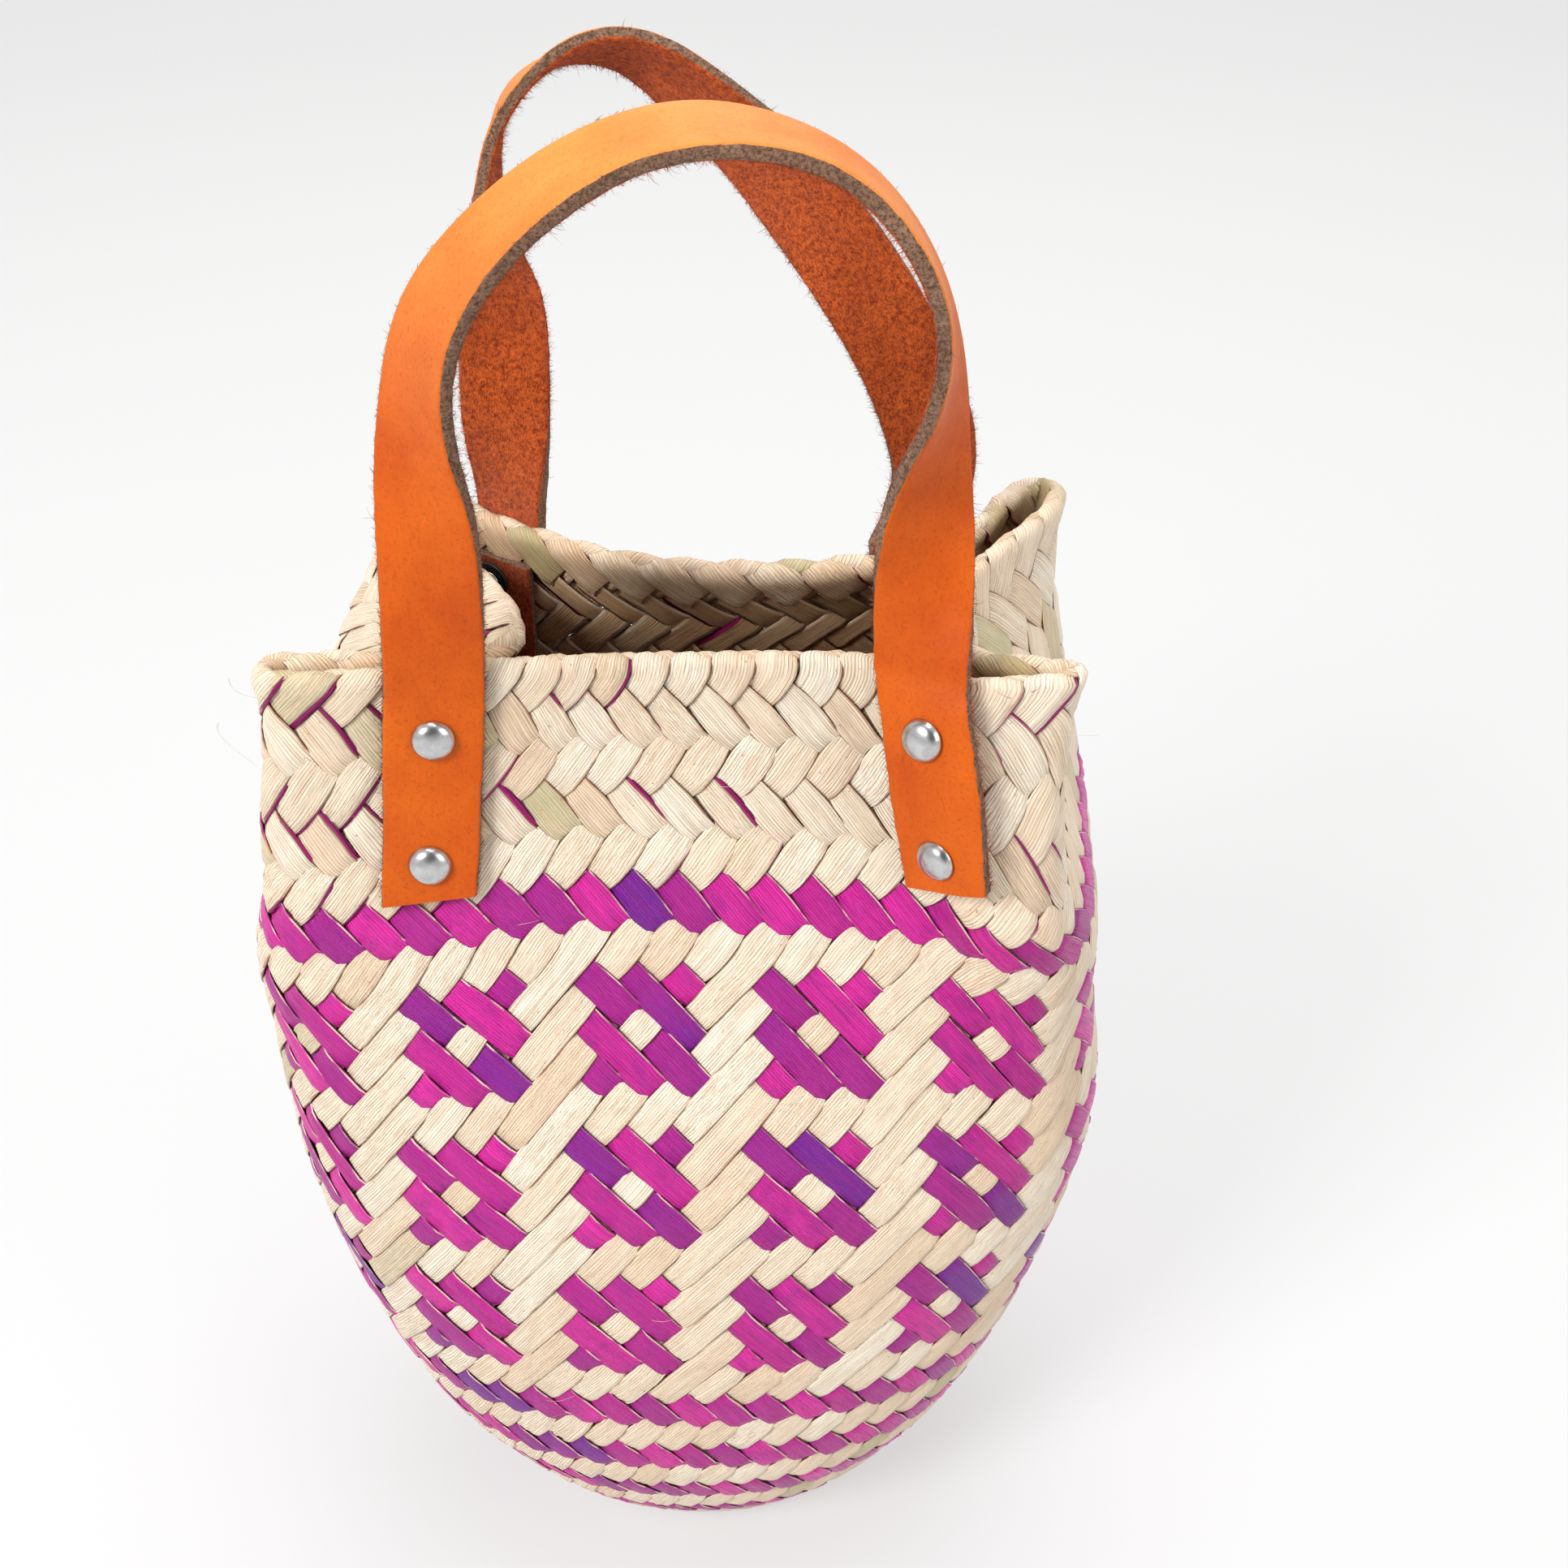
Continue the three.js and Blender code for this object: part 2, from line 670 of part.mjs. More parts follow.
function drillsFor(names) {
  const drills = [];
  names.forEach(name => {
    Object.values(dropsOf(tabs[name])).forEach(drop => {
      drills.push(toSolid(setOnWall(drill, tabs[name], drop)));
    });
  });
  return drills;
}

function drilled(geometry, names) {
  let solid = toSolid(geometry);
  drillsFor(names).forEach(tool => {
    solid = solid.subtract(tool);
  });
  return toGeometry(solid);
}

addPiece('basket_body', drilled(outward(basketGeometry()), Object.keys(tabs)),
  material(palmColour, 0.75, 0));

const frontHandle = handleGeometry(frontArch, tabs.front_left, tabs.front_right, -1);
addPiece('front_handle', drilled(frontHandle, ['front_left', 'front_right']),
  material(leatherColour, 0.5, 0));
const rearHandle = handleGeometry(rearArch, tabs.rear_left, tabs.rear_right, 1);
addPiece('rear_handle', drilled(rearHandle, ['rear_left', 'rear_right']),
  material(leatherColour, 0.5, 0));

Object.entries(tabs).forEach(([name, tab]) => {
  addPiece(`${name}_patch`, drilled(patchGeometry(tab), [name]),
    material(suedeColour, 0.8, 0));
  Object.entries(dropsOf(tab)).forEach(([level, drop]) => {
    const heights = rivetHeights(tab, drop);
    const rivet = turnedGeometry(rivetProfile(heights));
    const washer = turnedGeometry(washerProfile(heights));
    addPiece(`${name}_${level}_rivet`, setOnWall(rivet, tab, drop),
      material(nickelColour, 0.35, 0.9));
    addPiece(`${name}_${level}_washer`, setOnWall(washer, tab, drop),
      material(blackColour, 0.5, 0.2));
  });
});

export default group;
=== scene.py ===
import logging
import math
from dataclasses import dataclass, field
from enum import Enum

import bpy
import numpy as np
from mathutils import Matrix, Vector


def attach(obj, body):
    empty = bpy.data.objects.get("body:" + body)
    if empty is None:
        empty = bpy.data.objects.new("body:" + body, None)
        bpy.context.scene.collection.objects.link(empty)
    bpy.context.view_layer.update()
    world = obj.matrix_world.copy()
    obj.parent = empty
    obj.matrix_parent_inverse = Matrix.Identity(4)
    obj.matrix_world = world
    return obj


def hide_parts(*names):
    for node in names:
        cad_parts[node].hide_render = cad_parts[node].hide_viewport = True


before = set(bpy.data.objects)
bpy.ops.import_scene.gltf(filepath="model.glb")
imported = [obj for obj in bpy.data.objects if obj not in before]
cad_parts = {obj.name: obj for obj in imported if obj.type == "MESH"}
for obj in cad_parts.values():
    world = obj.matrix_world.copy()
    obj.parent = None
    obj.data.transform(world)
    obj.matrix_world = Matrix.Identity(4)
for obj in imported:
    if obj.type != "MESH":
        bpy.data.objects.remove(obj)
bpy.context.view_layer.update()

log = logging.getLogger("palm_leaf_handbag")

MM = 0.001
WHITE = (1.0, 1.0, 1.0)
# random phases are drawn from 0 to about a full turn, in radians
PHASES = 6.3
# how far apart the noise of two different tones is read
TONE_SPREAD = 37.0
Array = np.ndarray
Table = list[tuple[float, ...]]
Span = tuple[float, float]
Colour = tuple[float, float, float]
Place = tuple[float, float, float]
Socket = bpy.types.NodeSocket
Material = bpy.types.Material
Piece = bpy.types.Object


class Weaver(Enum):
    """The two families of leaf strips, named by how they run on the wall."""

    RISING = 1
    FALLING = -1


class Zone(Enum):
    """The three faces of a leather strap, in the order of its material slots."""

    SMOOTH = 0
    CUT = 1
    SUEDE = 2


def ease(start: float, end: float, value: Array) -> Array:
    """A soft step.

    Args:
        start: Where the step leaves 0.
        end: Where the step reaches 1.
        value: Places to look at.

    Returns:
        The step's height at each place.
    """
    part = np.clip((np.asarray(value, float) - start) / (end - start), 0.0, 1.0)
    return part * part * (3.0 - 2.0 * part)


def unit(vectors: Array) -> Array:
    """Vectors scaled to length one along the last axis."""
    return vectors / np.maximum(np.linalg.norm(vectors, axis=-1, keepdims=True), 1e-9)


def through(keys: Array, values: Array, at: Array) -> Array:
    """A smooth curve through rows of numbers, without overshoot.

    Args:
        keys: Rising places of the rows.
        values: One value per row.
        at: Places to read.

    Returns:
        The curve's value at each place.
    """
    keys, values, at = (np.asarray(a, float) for a in (keys, values, at))
    slope = np.diff(values) / np.diff(keys)
    both = slope[:-1] * slope[1:]
    middle = np.where(both > 0, 2 * both / np.where(both > 0, slope[:-1] + slope[1:], 1), 0)
    tangent = np.concatenate([slope[:1], middle, slope[-1:]])
    row = np.clip(np.searchsorted(keys, at, side="right") - 1, 0, len(keys) - 2)
    width = keys[row + 1] - keys[row]
    t = np.clip((at - keys[row]) / width, 0.0, 1.0)
    start = values[row] * (1 + 2 * t) * (1 - t) ** 2
    leave = tangent[row] * width * t * (1 - t) ** 2
    end = values[row + 1] * t * t * (3 - 2 * t)
    arrive = tangent[row + 1] * width * t * t * (t - 1)
    return start + leave + end + arrive


def centripetal(points: Array, closed: bool, steps: int) -> Array:
    """Points of a centripetal spline through a few given ones.

    Args:
        points: The points to pass through, one per row.
        closed: Whether the line joins its own start.
        steps: Points on each piece between two given ones.

    Returns:
        The fine points, ending on the last given one if the line is open.
    """
    pts = np.asarray(points, float)
    count = len(pts)
    if closed:
        spread = np.vstack([pts[-1:], pts, pts[:2]])
    else:
        spread = np.vstack([2 * pts[0] - pts[1], pts, 2 * pts[-1] - pts[-2]])
    t = (np.arange(steps) / steps)[:, None]
    fine = []
    for i in range(count if closed else count - 1):
        p0, p1, p2, p3 = spread[i : i + 4]
        d0, d1, d2 = (math.sqrt(np.linalg.norm(b - a)) for a, b in ((p0, p1), (p1, p2), (p2, p3)))
        leave = ((p1 - p0) / d0 - (p2 - p0) / (d0 + d1) + (p2 - p1) / d1) * d1
        arrive = ((p2 - p1) / d1 - (p3 - p1) / (d1 + d2) + (p3 - p2) / d2) * d1
        square = -3 * p1 + 3 * p2 - 2 * leave - arrive
        cube = 2 * p1 - 2 * p2 + leave + arrive
        fine.append(p1 + leave * t + square * t**2 + cube * t**3)
    if not closed:
        fine.append(pts[-1:])
    return np.concatenate(fine)


def along(points: Array, shares: Array, closed: bool) -> Array:
    """Points at given shares of a line's length.

    Args:
        points: The line, one point per row.
        shares: Shares of its length from 0 to 1.
        closed: Whether the line joins its own start.

    Returns:
        One point per share.
    """
    line = np.vstack([points, points[:1]]) if closed else points
    sums = np.concatenate([[0.0], np.cumsum(np.linalg.norm(np.diff(line, axis=0), axis=1))])
    goal = np.asarray(shares) * sums[-1]
    return np.stack([np.interp(goal, sums, line[:, k]) for k in range(line.shape[1])], axis=-1)


@dataclass
class MeshParts:
    """Arrays of one mesh as it grows: points in millimetres, quads, and values to paint by."""

    points: list[Array] = field(default_factory=list)
    quads: list[Array] = field(default_factory=list)
    slots: list[Array] = field(default_factory=list)
    uvs: list[Array] = field(default_factory=list)
    tones: list[Array] = field(default_factory=list)
    sides: list[Array] = field(default_factory=list)
    dyes: list[Array] = field(default_factory=list)
    back_and_shade: list[Array] = field(default_factory=list)
    count: int = 0

    def add(
        self,
        points: Array,
        quads: Array,
        slots: Array,
        uvs: Array,
        tones: Array,
        sides: Array | None = None,
        dyes: Array | None = None,
        back_and_shade: Array | None = None,
    ) -> None:
        """Adds one block.

        Args:
            points: Points, one per row.
            quads: Rows of four point numbers that count within this block.
            slots: Material slot of each quad.
            uvs: Two values per point, in millimetres.
            tones: One value per point.
            sides: Place across the strip for each point, from -0.5 to 0.5.
            dyes: Share of the strip's width that a dyed lining shows, for each point.
            back_and_shade: How far each point takes the dull tint, from 0 to 1: the leaf's inner side,
            and painted shade where a strip is folded over the rim into the bag.
        """
        self.back_and_shade.append(np.zeros(len(points)) if back_and_shade is None else back_and_shade)
        self.sides.append(np.zeros(len(points)) if sides is None else sides)
        self.dyes.append(np.zeros(len(points)) if dyes is None else dyes)
        self.points.append(points)
        self.quads.append(quads + self.count)
        self.slots.append(slots)
        self.uvs.append(uvs)
        self.tones.append(tones)
        self.count += len(points)

    def build(self, name: str, materials: list[Material]) -> Piece:
        """Makes the object.

        Args:
            name: The piece's name.
            materials: One material per slot.

        Returns:
            The new object, linked to the scene.
        """
        points = np.concatenate(self.points) * MM
        quads = np.concatenate(self.quads).astype(np.int32)
        slots = np.concatenate(self.slots).astype(np.int32)
        uvs = np.concatenate(self.uvs)
        tones = np.concatenate(self.tones)
        mesh = bpy.data.meshes.new(name)
        mesh.vertices.add(len(points))
        mesh.vertices.foreach_set("co", points.ravel())
        mesh.loops.add(quads.size)
        mesh.loops.foreach_set("vertex_index", quads.ravel())
        mesh.polygons.add(len(quads))
        mesh.polygons.foreach_set("loop_start", np.arange(len(quads), dtype=np.int32) * 4)
        mesh.polygons.foreach_set("material_index", slots)
        mesh.polygons.foreach_set("use_smooth", np.ones(len(quads), bool))
        layer = mesh.uv_layers.new(name="UVMap")
        layer.data.foreach_set("uv", uvs[quads.ravel()].ravel())
        lists = {"side": self.sides, "dye": self.dyes, "back": self.back_and_shade}
        painted = {"tone": tones} | {label: np.concatenate(values) for label, values in lists.items()}
        for label, values in painted.items():
            layer = mesh.attributes.new(label, "FLOAT", "POINT")
            layer.data.foreach_set("value", values.astype(np.float32))
        mesh.update(calc_edges=True)
        mesh.validate()
        for material in materials:
            mesh.materials.append(material)
        piece = bpy.data.objects.new(name, mesh)
        bpy.context.scene.collection.objects.link(piece)
        return piece


def grid_quads(rows: int, columns: int, wrap: bool) -> Array:
    """Quads of a grid of points stored row after row.

    Args:
        rows: Number of rows of points.
        columns: Number of points in a row.
        wrap: Whether each row joins its own start.

    Returns:
        One row of four point numbers per quad.
    """
    across = columns if wrap else columns - 1
    r, c = np.meshgrid(np.arange(rows - 1), np.arange(across), indexing="ij")
    a = (r * columns + c).ravel()
    b = (r * columns + (c + 1) % columns).ravel()
    return np.stack([a, b, b + columns, a + columns], axis=1)


class Nodes:
    """A short way to write a material's nodes."""

    def __init__(self, name: str) -> None:
        """Starts a new material with an empty node tree.

        Args:
            name: The material's name.
        """
        self.material = bpy.data.materials.new(name)
        self.material.use_nodes = True
        self.tree = self.material.node_tree
        self.tree.nodes.clear()
        self.shader = self.tree.nodes.new("ShaderNodeBsdfPrincipled")
        output = self.tree.nodes.new("ShaderNodeOutputMaterial")
        self.join(self.shader.outputs["BSDF"], output.inputs["Surface"])

    def join(self, source: Socket, target: Socket) -> None:
        """Links two sockets."""
        self.tree.links.new(source, target)

    def uv(self, along_scale: float, across_scale: float) -> Socket:
        """The strip's own coordinates, scaled, with the tone as the third one.

        Args:
            along_scale: Scale along the strip, per millimetre.
            across_scale: Scale across the strip, per millimetre.

        Returns:
            A vector socket.
        """
        source = self.tree.nodes.new("ShaderNodeUVMap")
        source.uv_map = "UVMap"
        split = self.tree.nodes.new("ShaderNodeSeparateXYZ")
        self.join(source.outputs["UV"], split.inputs["Vector"])
        pack = self.tree.nodes.new("ShaderNodeCombineXYZ")
        self.join(self.maths("MULTIPLY", split.outputs["X"], along_scale), pack.inputs["X"])
        self.join(self.maths("MULTIPLY", split.outputs["Y"], across_scale), pack.inputs["Y"])
        self.join(self.maths("MULTIPLY", self.tone(), TONE_SPREAD), pack.inputs["Z"])
        return pack.outputs["Vector"]

    def place(self) -> Socket:
        """The point in the object's own metres."""
        return self.tree.nodes.new("ShaderNodeTexCoord").outputs["Object"]

    def painted(self, name: str) -> Socket:
        """A value painted on the mesh."""
        node = self.tree.nodes.new("ShaderNodeAttribute")
        node.attribute_name = name
        return node.outputs["Fac"]

    def tone(self) -> Socket:
        """The tone painted on the mesh."""
        return self.painted("tone")

    def maths(self, kind: str, a: Socket, b: Socket | float) -> Socket:
        """A maths node.

        Args:
            kind: Blender's name of the operation.
            a: The first value.
            b: The second value, a socket or a number.

        Returns:
            The result's socket.
        """
        node = self.tree.nodes.new("ShaderNodeMath")
        node.operation = kind
        self.join(a, node.inputs[0])
        if isinstance(b, (int, float)):
            node.inputs[1].default_value = b
        else:
            self.join(b, node.inputs[1])
        return node.outputs[0]

    def noise(self, vector: Socket, scale: float, detail: float, rough: float = 0.5) -> Socket:
        """A noise texture.

        Args:
            vector: Where to read it.
            scale: Its scale.
            detail: Its levels of detail.
            rough: How strong the fine levels are.

        Returns:
            The factor's socket.
        """
        node = self.tree.nodes.new("ShaderNodeTexNoise")
        node.inputs["Scale"].default_value = scale
        node.inputs["Detail"].default_value = detail
        node.inputs["Roughness"].default_value = rough
        self.join(vector, node.inputs["Vector"])
        return node.outputs["Fac"]

    def ramp(self, value: Socket, stops: list[tuple[float, Colour]]) -> Socket:
        """A colour ramp.

        Args:
            value: The value to look up.
            stops: Pairs of place and colour.

        Returns:
            The colour's socket.
        """
        node = self.tree.nodes.new("ShaderNodeValToRGB")
        node.color_ramp.interpolation = "EASE"
        elements = node.color_ramp.elements
        while len(elements) < len(stops):
            elements.new(0.5)
        for element, (place, colour) in zip(elements, stops):
            element.position = place
            element.color = (*colour, 1.0)
        self.join(value, node.inputs["Fac"])
        return node.outputs["Color"]

    def mix(
        self, share: Socket | float, a: Socket | Colour, b: Socket | Colour, kind: str = "MIX"
    ) -> Socket:
        """Mixes two colours.

        Args:
            share: How much of the second, a socket or a number.
            a: The first colour, a socket or a tuple.
            b: The second colour, a socket or a tuple.
            kind: Blender's name of the way to mix.

        Returns:
            The colour's socket.
        """
        node = self.tree.nodes.new("ShaderNodeMix")
        node.data_type = "RGBA"
        node.blend_type = kind
        if isinstance(share, float):
            node.inputs[0].default_value = share
        else:
            self.join(share, node.inputs[0])
        for socket, value in ((node.inputs[6], a), (node.inputs[7], b)):
            if isinstance(value, tuple):
                socket.default_value = (*value, 1.0)
            else:
                self.join(value, socket)
        return node.outputs[2]

    def limits(self, value: Socket, low: float, high: float, to_low: float, to_high: float) -> Socket:
        """Maps a value from one range to another, held at the ends.

        Args:
            value: The value to map.
            low: Start of its own range.
            high: End of its own range.
            to_low: Start of the new range.
            to_high: End of the new range.

        Returns:
            The result's socket.
        """
        node = self.tree.nodes.new("ShaderNodeMapRange")
        for socket, number in zip(node.inputs[1:5], (low, high, to_low, to_high)):
            socket.default_value = number
        self.join(value, node.inputs[0])
        return node.outputs[0]

    def bump(self, height: Socket, strength: float, distance: float) -> None:
        """Adds fine relief.

        Args:
            height: The relief's height.
            strength: Its strength.
            distance: Its depth in metres.
        """
        node = self.tree.nodes.new("ShaderNodeBump")
        node.inputs["Strength"].default_value = strength
        node.inputs["Distance"].default_value = distance
        self.join(height, node.inputs["Height"])
        self.join(node.outputs["Normal"], self.shader.inputs["Normal"])


@dataclass(frozen=True)
class LeafFinish:
    """Dried palm leaf: a fine grain along the strip and a tone of its own for each strip."""

    name: str
    tones: tuple[tuple[float, Colour], ...]
    grain: Colour
    blush: Colour
    blush_share: float
    speck: Colour
    # one edge of each strip: painted shade on the plain leaf, the pale cut edge on the magenta leaf
    edge: Colour
    # painted shade in the thin gaps between strips
    gap_shade: Colour
    roughness: float
    lining: Colour = (0.52, 0.005, 0.23)
    # tint set by the back value: the leaf's own browner inner side, and painted shade inside the bag
    back_and_shade_tint: Colour = (0.74, 0.56, 0.36)
    rib_depth: float = 0.7
    rib_pitch: float = 0.62
    back_and_shade_share: float = 0.85
    specular: float = 0.45
    relief: float = 0.00045

    def make(self) -> Material:
        """Writes the material.

        Returns:
            The new material.
        """
        pen = Nodes(self.name)
        own = pen.ramp(pen.tone(), list(self.tones))
        streak = pen.noise(pen.uv(0.04, 1.5), 1.0, 3.0, 0.65)
        fine = pen.noise(pen.uv(0.05, 5.5), 1.0, 2.0, 0.6)
        ribs = self.ribs(pen)
        faint = pen.noise(pen.uv(0.12, 0.3), 1.0, 2.0)
        cloud = pen.noise(pen.uv(0.09, 0.22), 1.0, 3.0, 0.6)
        dots = pen.noise(pen.uv(1.1, 1.6), 1.0, 1.0)
        body = pen.mix(pen.limits(cloud, 0.5, 0.74, 0.0, self.blush_share), own, self.blush)
        body = pen.mix(pen.limits(streak, 0.5, 0.74, 0.0, 0.6), body, self.grain)
        body = pen.mix(pen.limits(fine, 0.52, 0.72, 0.0, 0.65), body, self.grain)
        deep = pen.limits(faint, 0.35, 0.65, 0.1, self.rib_depth)
        body = pen.mix(pen.maths("MULTIPLY", ribs, deep), body, self.grain)
        body = pen.mix(pen.limits(dots, 0.74, 0.79, 0.0, 0.8), body, self.speck)
        side = pen.painted("side")
        # Edge colour on one edge: painted shade where plain strips curve down; on magenta the pale cut edge.
        cut = pen.limits(side, 0.43, 0.455, 0.0, 1.0)
        body = pen.mix(pen.maths("MULTIPLY", cut, pen.limits(faint, 0.46, 0.54, 0.15, 1.0)), body, self.edge)
        # Painted shade: a thin dark line along both edges of each strip, for the gaps between strips.
        both = pen.maths("ABSOLUTE", side, 0.0)
        body = pen.mix(pen.limits(both, 0.47, 0.488, 0.0, 1.0), body, self.gap_shade)
        into = pen.maths("ADD", side, pen.painted("dye"))
        dyed = pen.limits(into, 0.497, 0.503, 0.0, 1.0)
        # Painted shade: a thin dark line, in the gap colour, where the dyed lining meets the plain strip.
        before = pen.limits(into, 0.47, 0.497, 0.0, 1.0)
        beyond = pen.limits(into, 0.51, 0.503, 0.0, 1.0)
        seam_shade = pen.maths("MULTIPLY", before, beyond)
        shown = pen.limits(pen.painted("dye"), 0.04, 0.06, 0.0, 1.0)
        body = pen.mix(pen.maths("MULTIPLY", dyed, shown), body, self.lining)
        body = pen.mix(pen.maths("MULTIPLY", seam_shade, shown), body, self.gap_shade)
        # Dull tint: the leaf's browner inner side, and painted shade on strips folded into the bag.
        behind = pen.maths("MULTIPLY", pen.painted("back"), self.back_and_shade_share)
        body = pen.mix(behind, body, self.back_and_shade_tint, "MULTIPLY")
        pen.join(body, pen.shader.inputs["Base Color"])
        rough = pen.limits(streak, 0.3, 0.7, self.roughness - 0.08, self.roughness + 0.12)
        pen.join(rough, pen.shader.inputs["Roughness"])
        pen.shader.inputs["Specular IOR Level"].default_value = self.specular
        relief = pen.maths("ADD", streak, pen.maths("MULTIPLY", fine, 0.7))
        relief = pen.maths("SUBTRACT", relief, pen.maths("MULTIPLY", ribs, 0.35))
        pen.bump(relief, 1.0, self.relief)
        return pen.material

    def ribs(self, pen: Nodes) -> Socket:
        """Thin sunken lines between the ribs of the leaf.

        Args:
            pen: The material being written.

        Returns:
            A value that is 1 on a line.
        """
        place = pen.tree.nodes.new("ShaderNodeSeparateXYZ")
        pen.join(pen.uv(1.0, 2 * math.pi / self.rib_pitch), place.inputs["Vector"])
        sway = pen.maths("MULTIPLY", pen.noise(pen.uv(0.03, 0.5), 1.0, 1.0), 9.0)
        wave = pen.maths("SINE", pen.maths("ADD", place.outputs["Y"], sway), 0.0)
        return pen.limits(wave, 0.35, 0.95, 0.0, 1.0)


@dataclass(frozen=True)
class SmoothLeather:
    """The polished grain side of the straps."""

    name: str = "strap_grain_side"
    pale: Colour = (0.64, 0.112, 0.003)
    deep: Colour = (0.49, 0.066, 0.002)
    # painted highlight at the top of the arch, where the leather is also stretched
    stretched_and_highlight: Colour = (0.84, 0.27, 0.05)
    scuff: Colour = (0.20, 0.028, 0.003)
    specular: float = 0.18
    relief: float = 0.0002

    def make(self) -> Material:
        """Writes the material.

        Returns:
            The new material.
        """
        pen = Nodes(self.name)
        place = pen.place()
        cloud = pen.noise(place, 45.0, 4.0, 0.6)
        pore = pen.noise(place, 1300.0, 3.0, 0.6)
        mark = pen.noise(pen.uv(0.05, 0.25), 3.0, 5.0, 0.7)
        body = pen.mix(pen.limits(cloud, 0.32, 0.68, 0.0, 1.0), self.pale, self.deep)
        # Painted highlight: lighter, yellower leather towards the arch top, where it is also stretched.
        stretched_and_highlight_share = pen.maths("MULTIPLY", pen.tone(), pen.limits(cloud, 0.3, 0.6, 1.0, 0.7))
        body = pen.mix(stretched_and_highlight_share, body, self.stretched_and_highlight)
        body = pen.mix(pen.limits(mark, 0.6, 0.76, 0.0, 0.5), body, self.scuff)
        body = pen.mix(pen.limits(pore, 0.52, 0.75, 0.0, 0.4), body, self.scuff)
        pen.join(body, pen.shader.inputs["Base Color"])
        pen.join(pen.limits(cloud, 0.3, 0.7, 0.42, 0.54), pen.shader.inputs["Roughness"])
        pen.shader.inputs["Specular IOR Level"].default_value = self.specular
        pen.bump(pen.maths("ADD", pore, pen.maths("MULTIPLY", mark, 1.5)), 0.5, self.relief)
        return pen.material


@dataclass(frozen=True)
class RoughLeather:
    """Leather where its fibres show: the flesh side, or a cut edge."""

    name: str
    pale: Colour
    deep: Colour
    scale: float
    depth: float
    threads: float
    roughness: float = 0.95
    specular: float = 0.15
    sheen: float = 0.1
    sheen_roughness: float = 0.5

    def make(self) -> Material:
        """Writes the material.

        Returns:
            The new material.
        """
        pen = Nodes(self.name)
        place = pen.place()
        nap = pen.noise(place, self.scale, 6.0, 0.8)
        patch = pen.noise(place, 85.0, 3.0, 0.6)
        thread = pen.noise(pen.uv(0.9, 2.6), 1.4, 5.0, 0.75)
        short = pen.maths("MULTIPLY", nap, 1.0 - self.threads)
        long = pen.maths("MULTIPLY", thread, self.threads)
        both = pen.maths("ADD", short, long)
        body = pen.ramp(both, [(0.4, self.deep), (0.58, self.pale)])
        body = pen.mix(pen.limits(patch, 0.35, 0.7, 0.0, 0.35), body, self.deep)
        pen.join(body, pen.shader.inputs["Base Color"])
        pen.shader.inputs["Roughness"].default_value = self.roughness
        pen.shader.inputs["Specular IOR Level"].default_value = self.specular
        pen.shader.inputs["Sheen Weight"].default_value = self.sheen
        pen.shader.inputs["Sheen Roughness"].default_value = self.sheen_roughness
        pen.bump(both, 0.9, self.depth)
        return pen.material


@dataclass(frozen=True)
class NickelFinish:
    """Nickel caps, softly brushed and a little scratched."""

    name: str = "nickel_cap"
    tint: Colour = (0.60, 0.60, 0.60)
    shade: Colour = (0.46, 0.46, 0.46)
    relief: float = 0.00003

    def make(self) -> Material:
        """Writes the material.

        Returns:
            The new material.
        """
        pen = Nodes(self.name)
        place = pen.place()
        wear = pen.noise(place, 420.0, 4.0, 0.6)
        scratch = pen.noise(place, 2500.0, 2.0)
        body = pen.mix(pen.limits(wear, 0.4, 0.7, 0.0, 1.0), self.tint, self.shade)
        pen.join(body, pen.shader.inputs["Base Color"])
        pen.shader.inputs["Metallic"].default_value = 1.0
        pen.join(pen.limits(wear, 0.3, 0.75, 0.19, 0.27), pen.shader.inputs["Roughness"])
        pen.bump(scratch, 0.08, self.relief)
        return pen.material


@dataclass(frozen=True)
class BlackFinish:
    """Black lacquered washers, worn thin here and there."""

    name: str = "black_washer"
    lacquer: Colour = (0.012, 0.011, 0.010)
    worn: Colour = (0.06, 0.055, 0.05)
    relief: float = 0.00005

    def make(self) -> Material:
        """Writes the material.

        Returns:
            The new material.
        """
        pen = Nodes(self.name)
        wear = pen.noise(pen.place(), 1200.0, 4.0, 0.6)
        body = pen.mix(pen.limits(wear, 0.55, 0.75, 0.0, 1.0), self.lacquer, self.worn)
        pen.join(body, pen.shader.inputs["Base Color"])
        pen.join(pen.limits(wear, 0.3, 0.7, 0.35, 0.55), pen.shader.inputs["Roughness"])
        pen.bump(wear, 0.2, self.relief)
        return pen.material


NATURAL_LEAF = LeafFinish(
    name="natural_leaf",
    tones=(
        (0.0, (0.60, 0.56, 0.33)),
        (0.1, (0.70, 0.62, 0.42)),
        (0.2, (0.86, 0.67, 0.48)),
        (0.5, (0.92, 0.78, 0.60)),
        (1.0, (0.96, 0.87, 0.71)),
    ),
    grain=(0.66, 0.43, 0.26),
    blush=(0.88, 0.64, 0.48),
    blush_share=0.5,
    speck=(0.36, 0.16, 0.07),
    # browner edge: painted shade where the strip curves down at its edge
    edge=(0.62, 0.36, 0.22),
    gap_shade=(0.24, 0.10, 0.05),
    roughness=0.4,
)
MAGENTA_LEAF = LeafFinish(
    name="magenta_leaf",
    tones=(
        (0.0, (0.16, 0.004, 0.30)),
        (0.1, (0.42, 0.005, 0.27)),
        (0.45, (0.58, 0.007, 0.29)),
        (1.0, (0.78, 0.014, 0.36)),
    ),
    grain=(0.34, 0.003, 0.16),
    blush=(0.28, 0.004, 0.25),
    blush_share=0.6,
    speck=(0.06, 0.002, 0.12),
    edge=(0.90, 0.60, 0.52),
    gap_shade=(0.12, 0.006, 0.045),
    roughness=0.34,
    rib_depth=0.45,
)
SUEDE = RoughLeather("strap_flesh_side", (0.92, 0.17, 0.024), (0.24, 0.022, 0.003), 820.0, 0.0016, 0.5)
CUT_EDGE = RoughLeather("strap_cut_edge", (0.46, 0.27, 0.17), (0.13, 0.055, 0.03), 1500.0, 0.0009, 0.12)


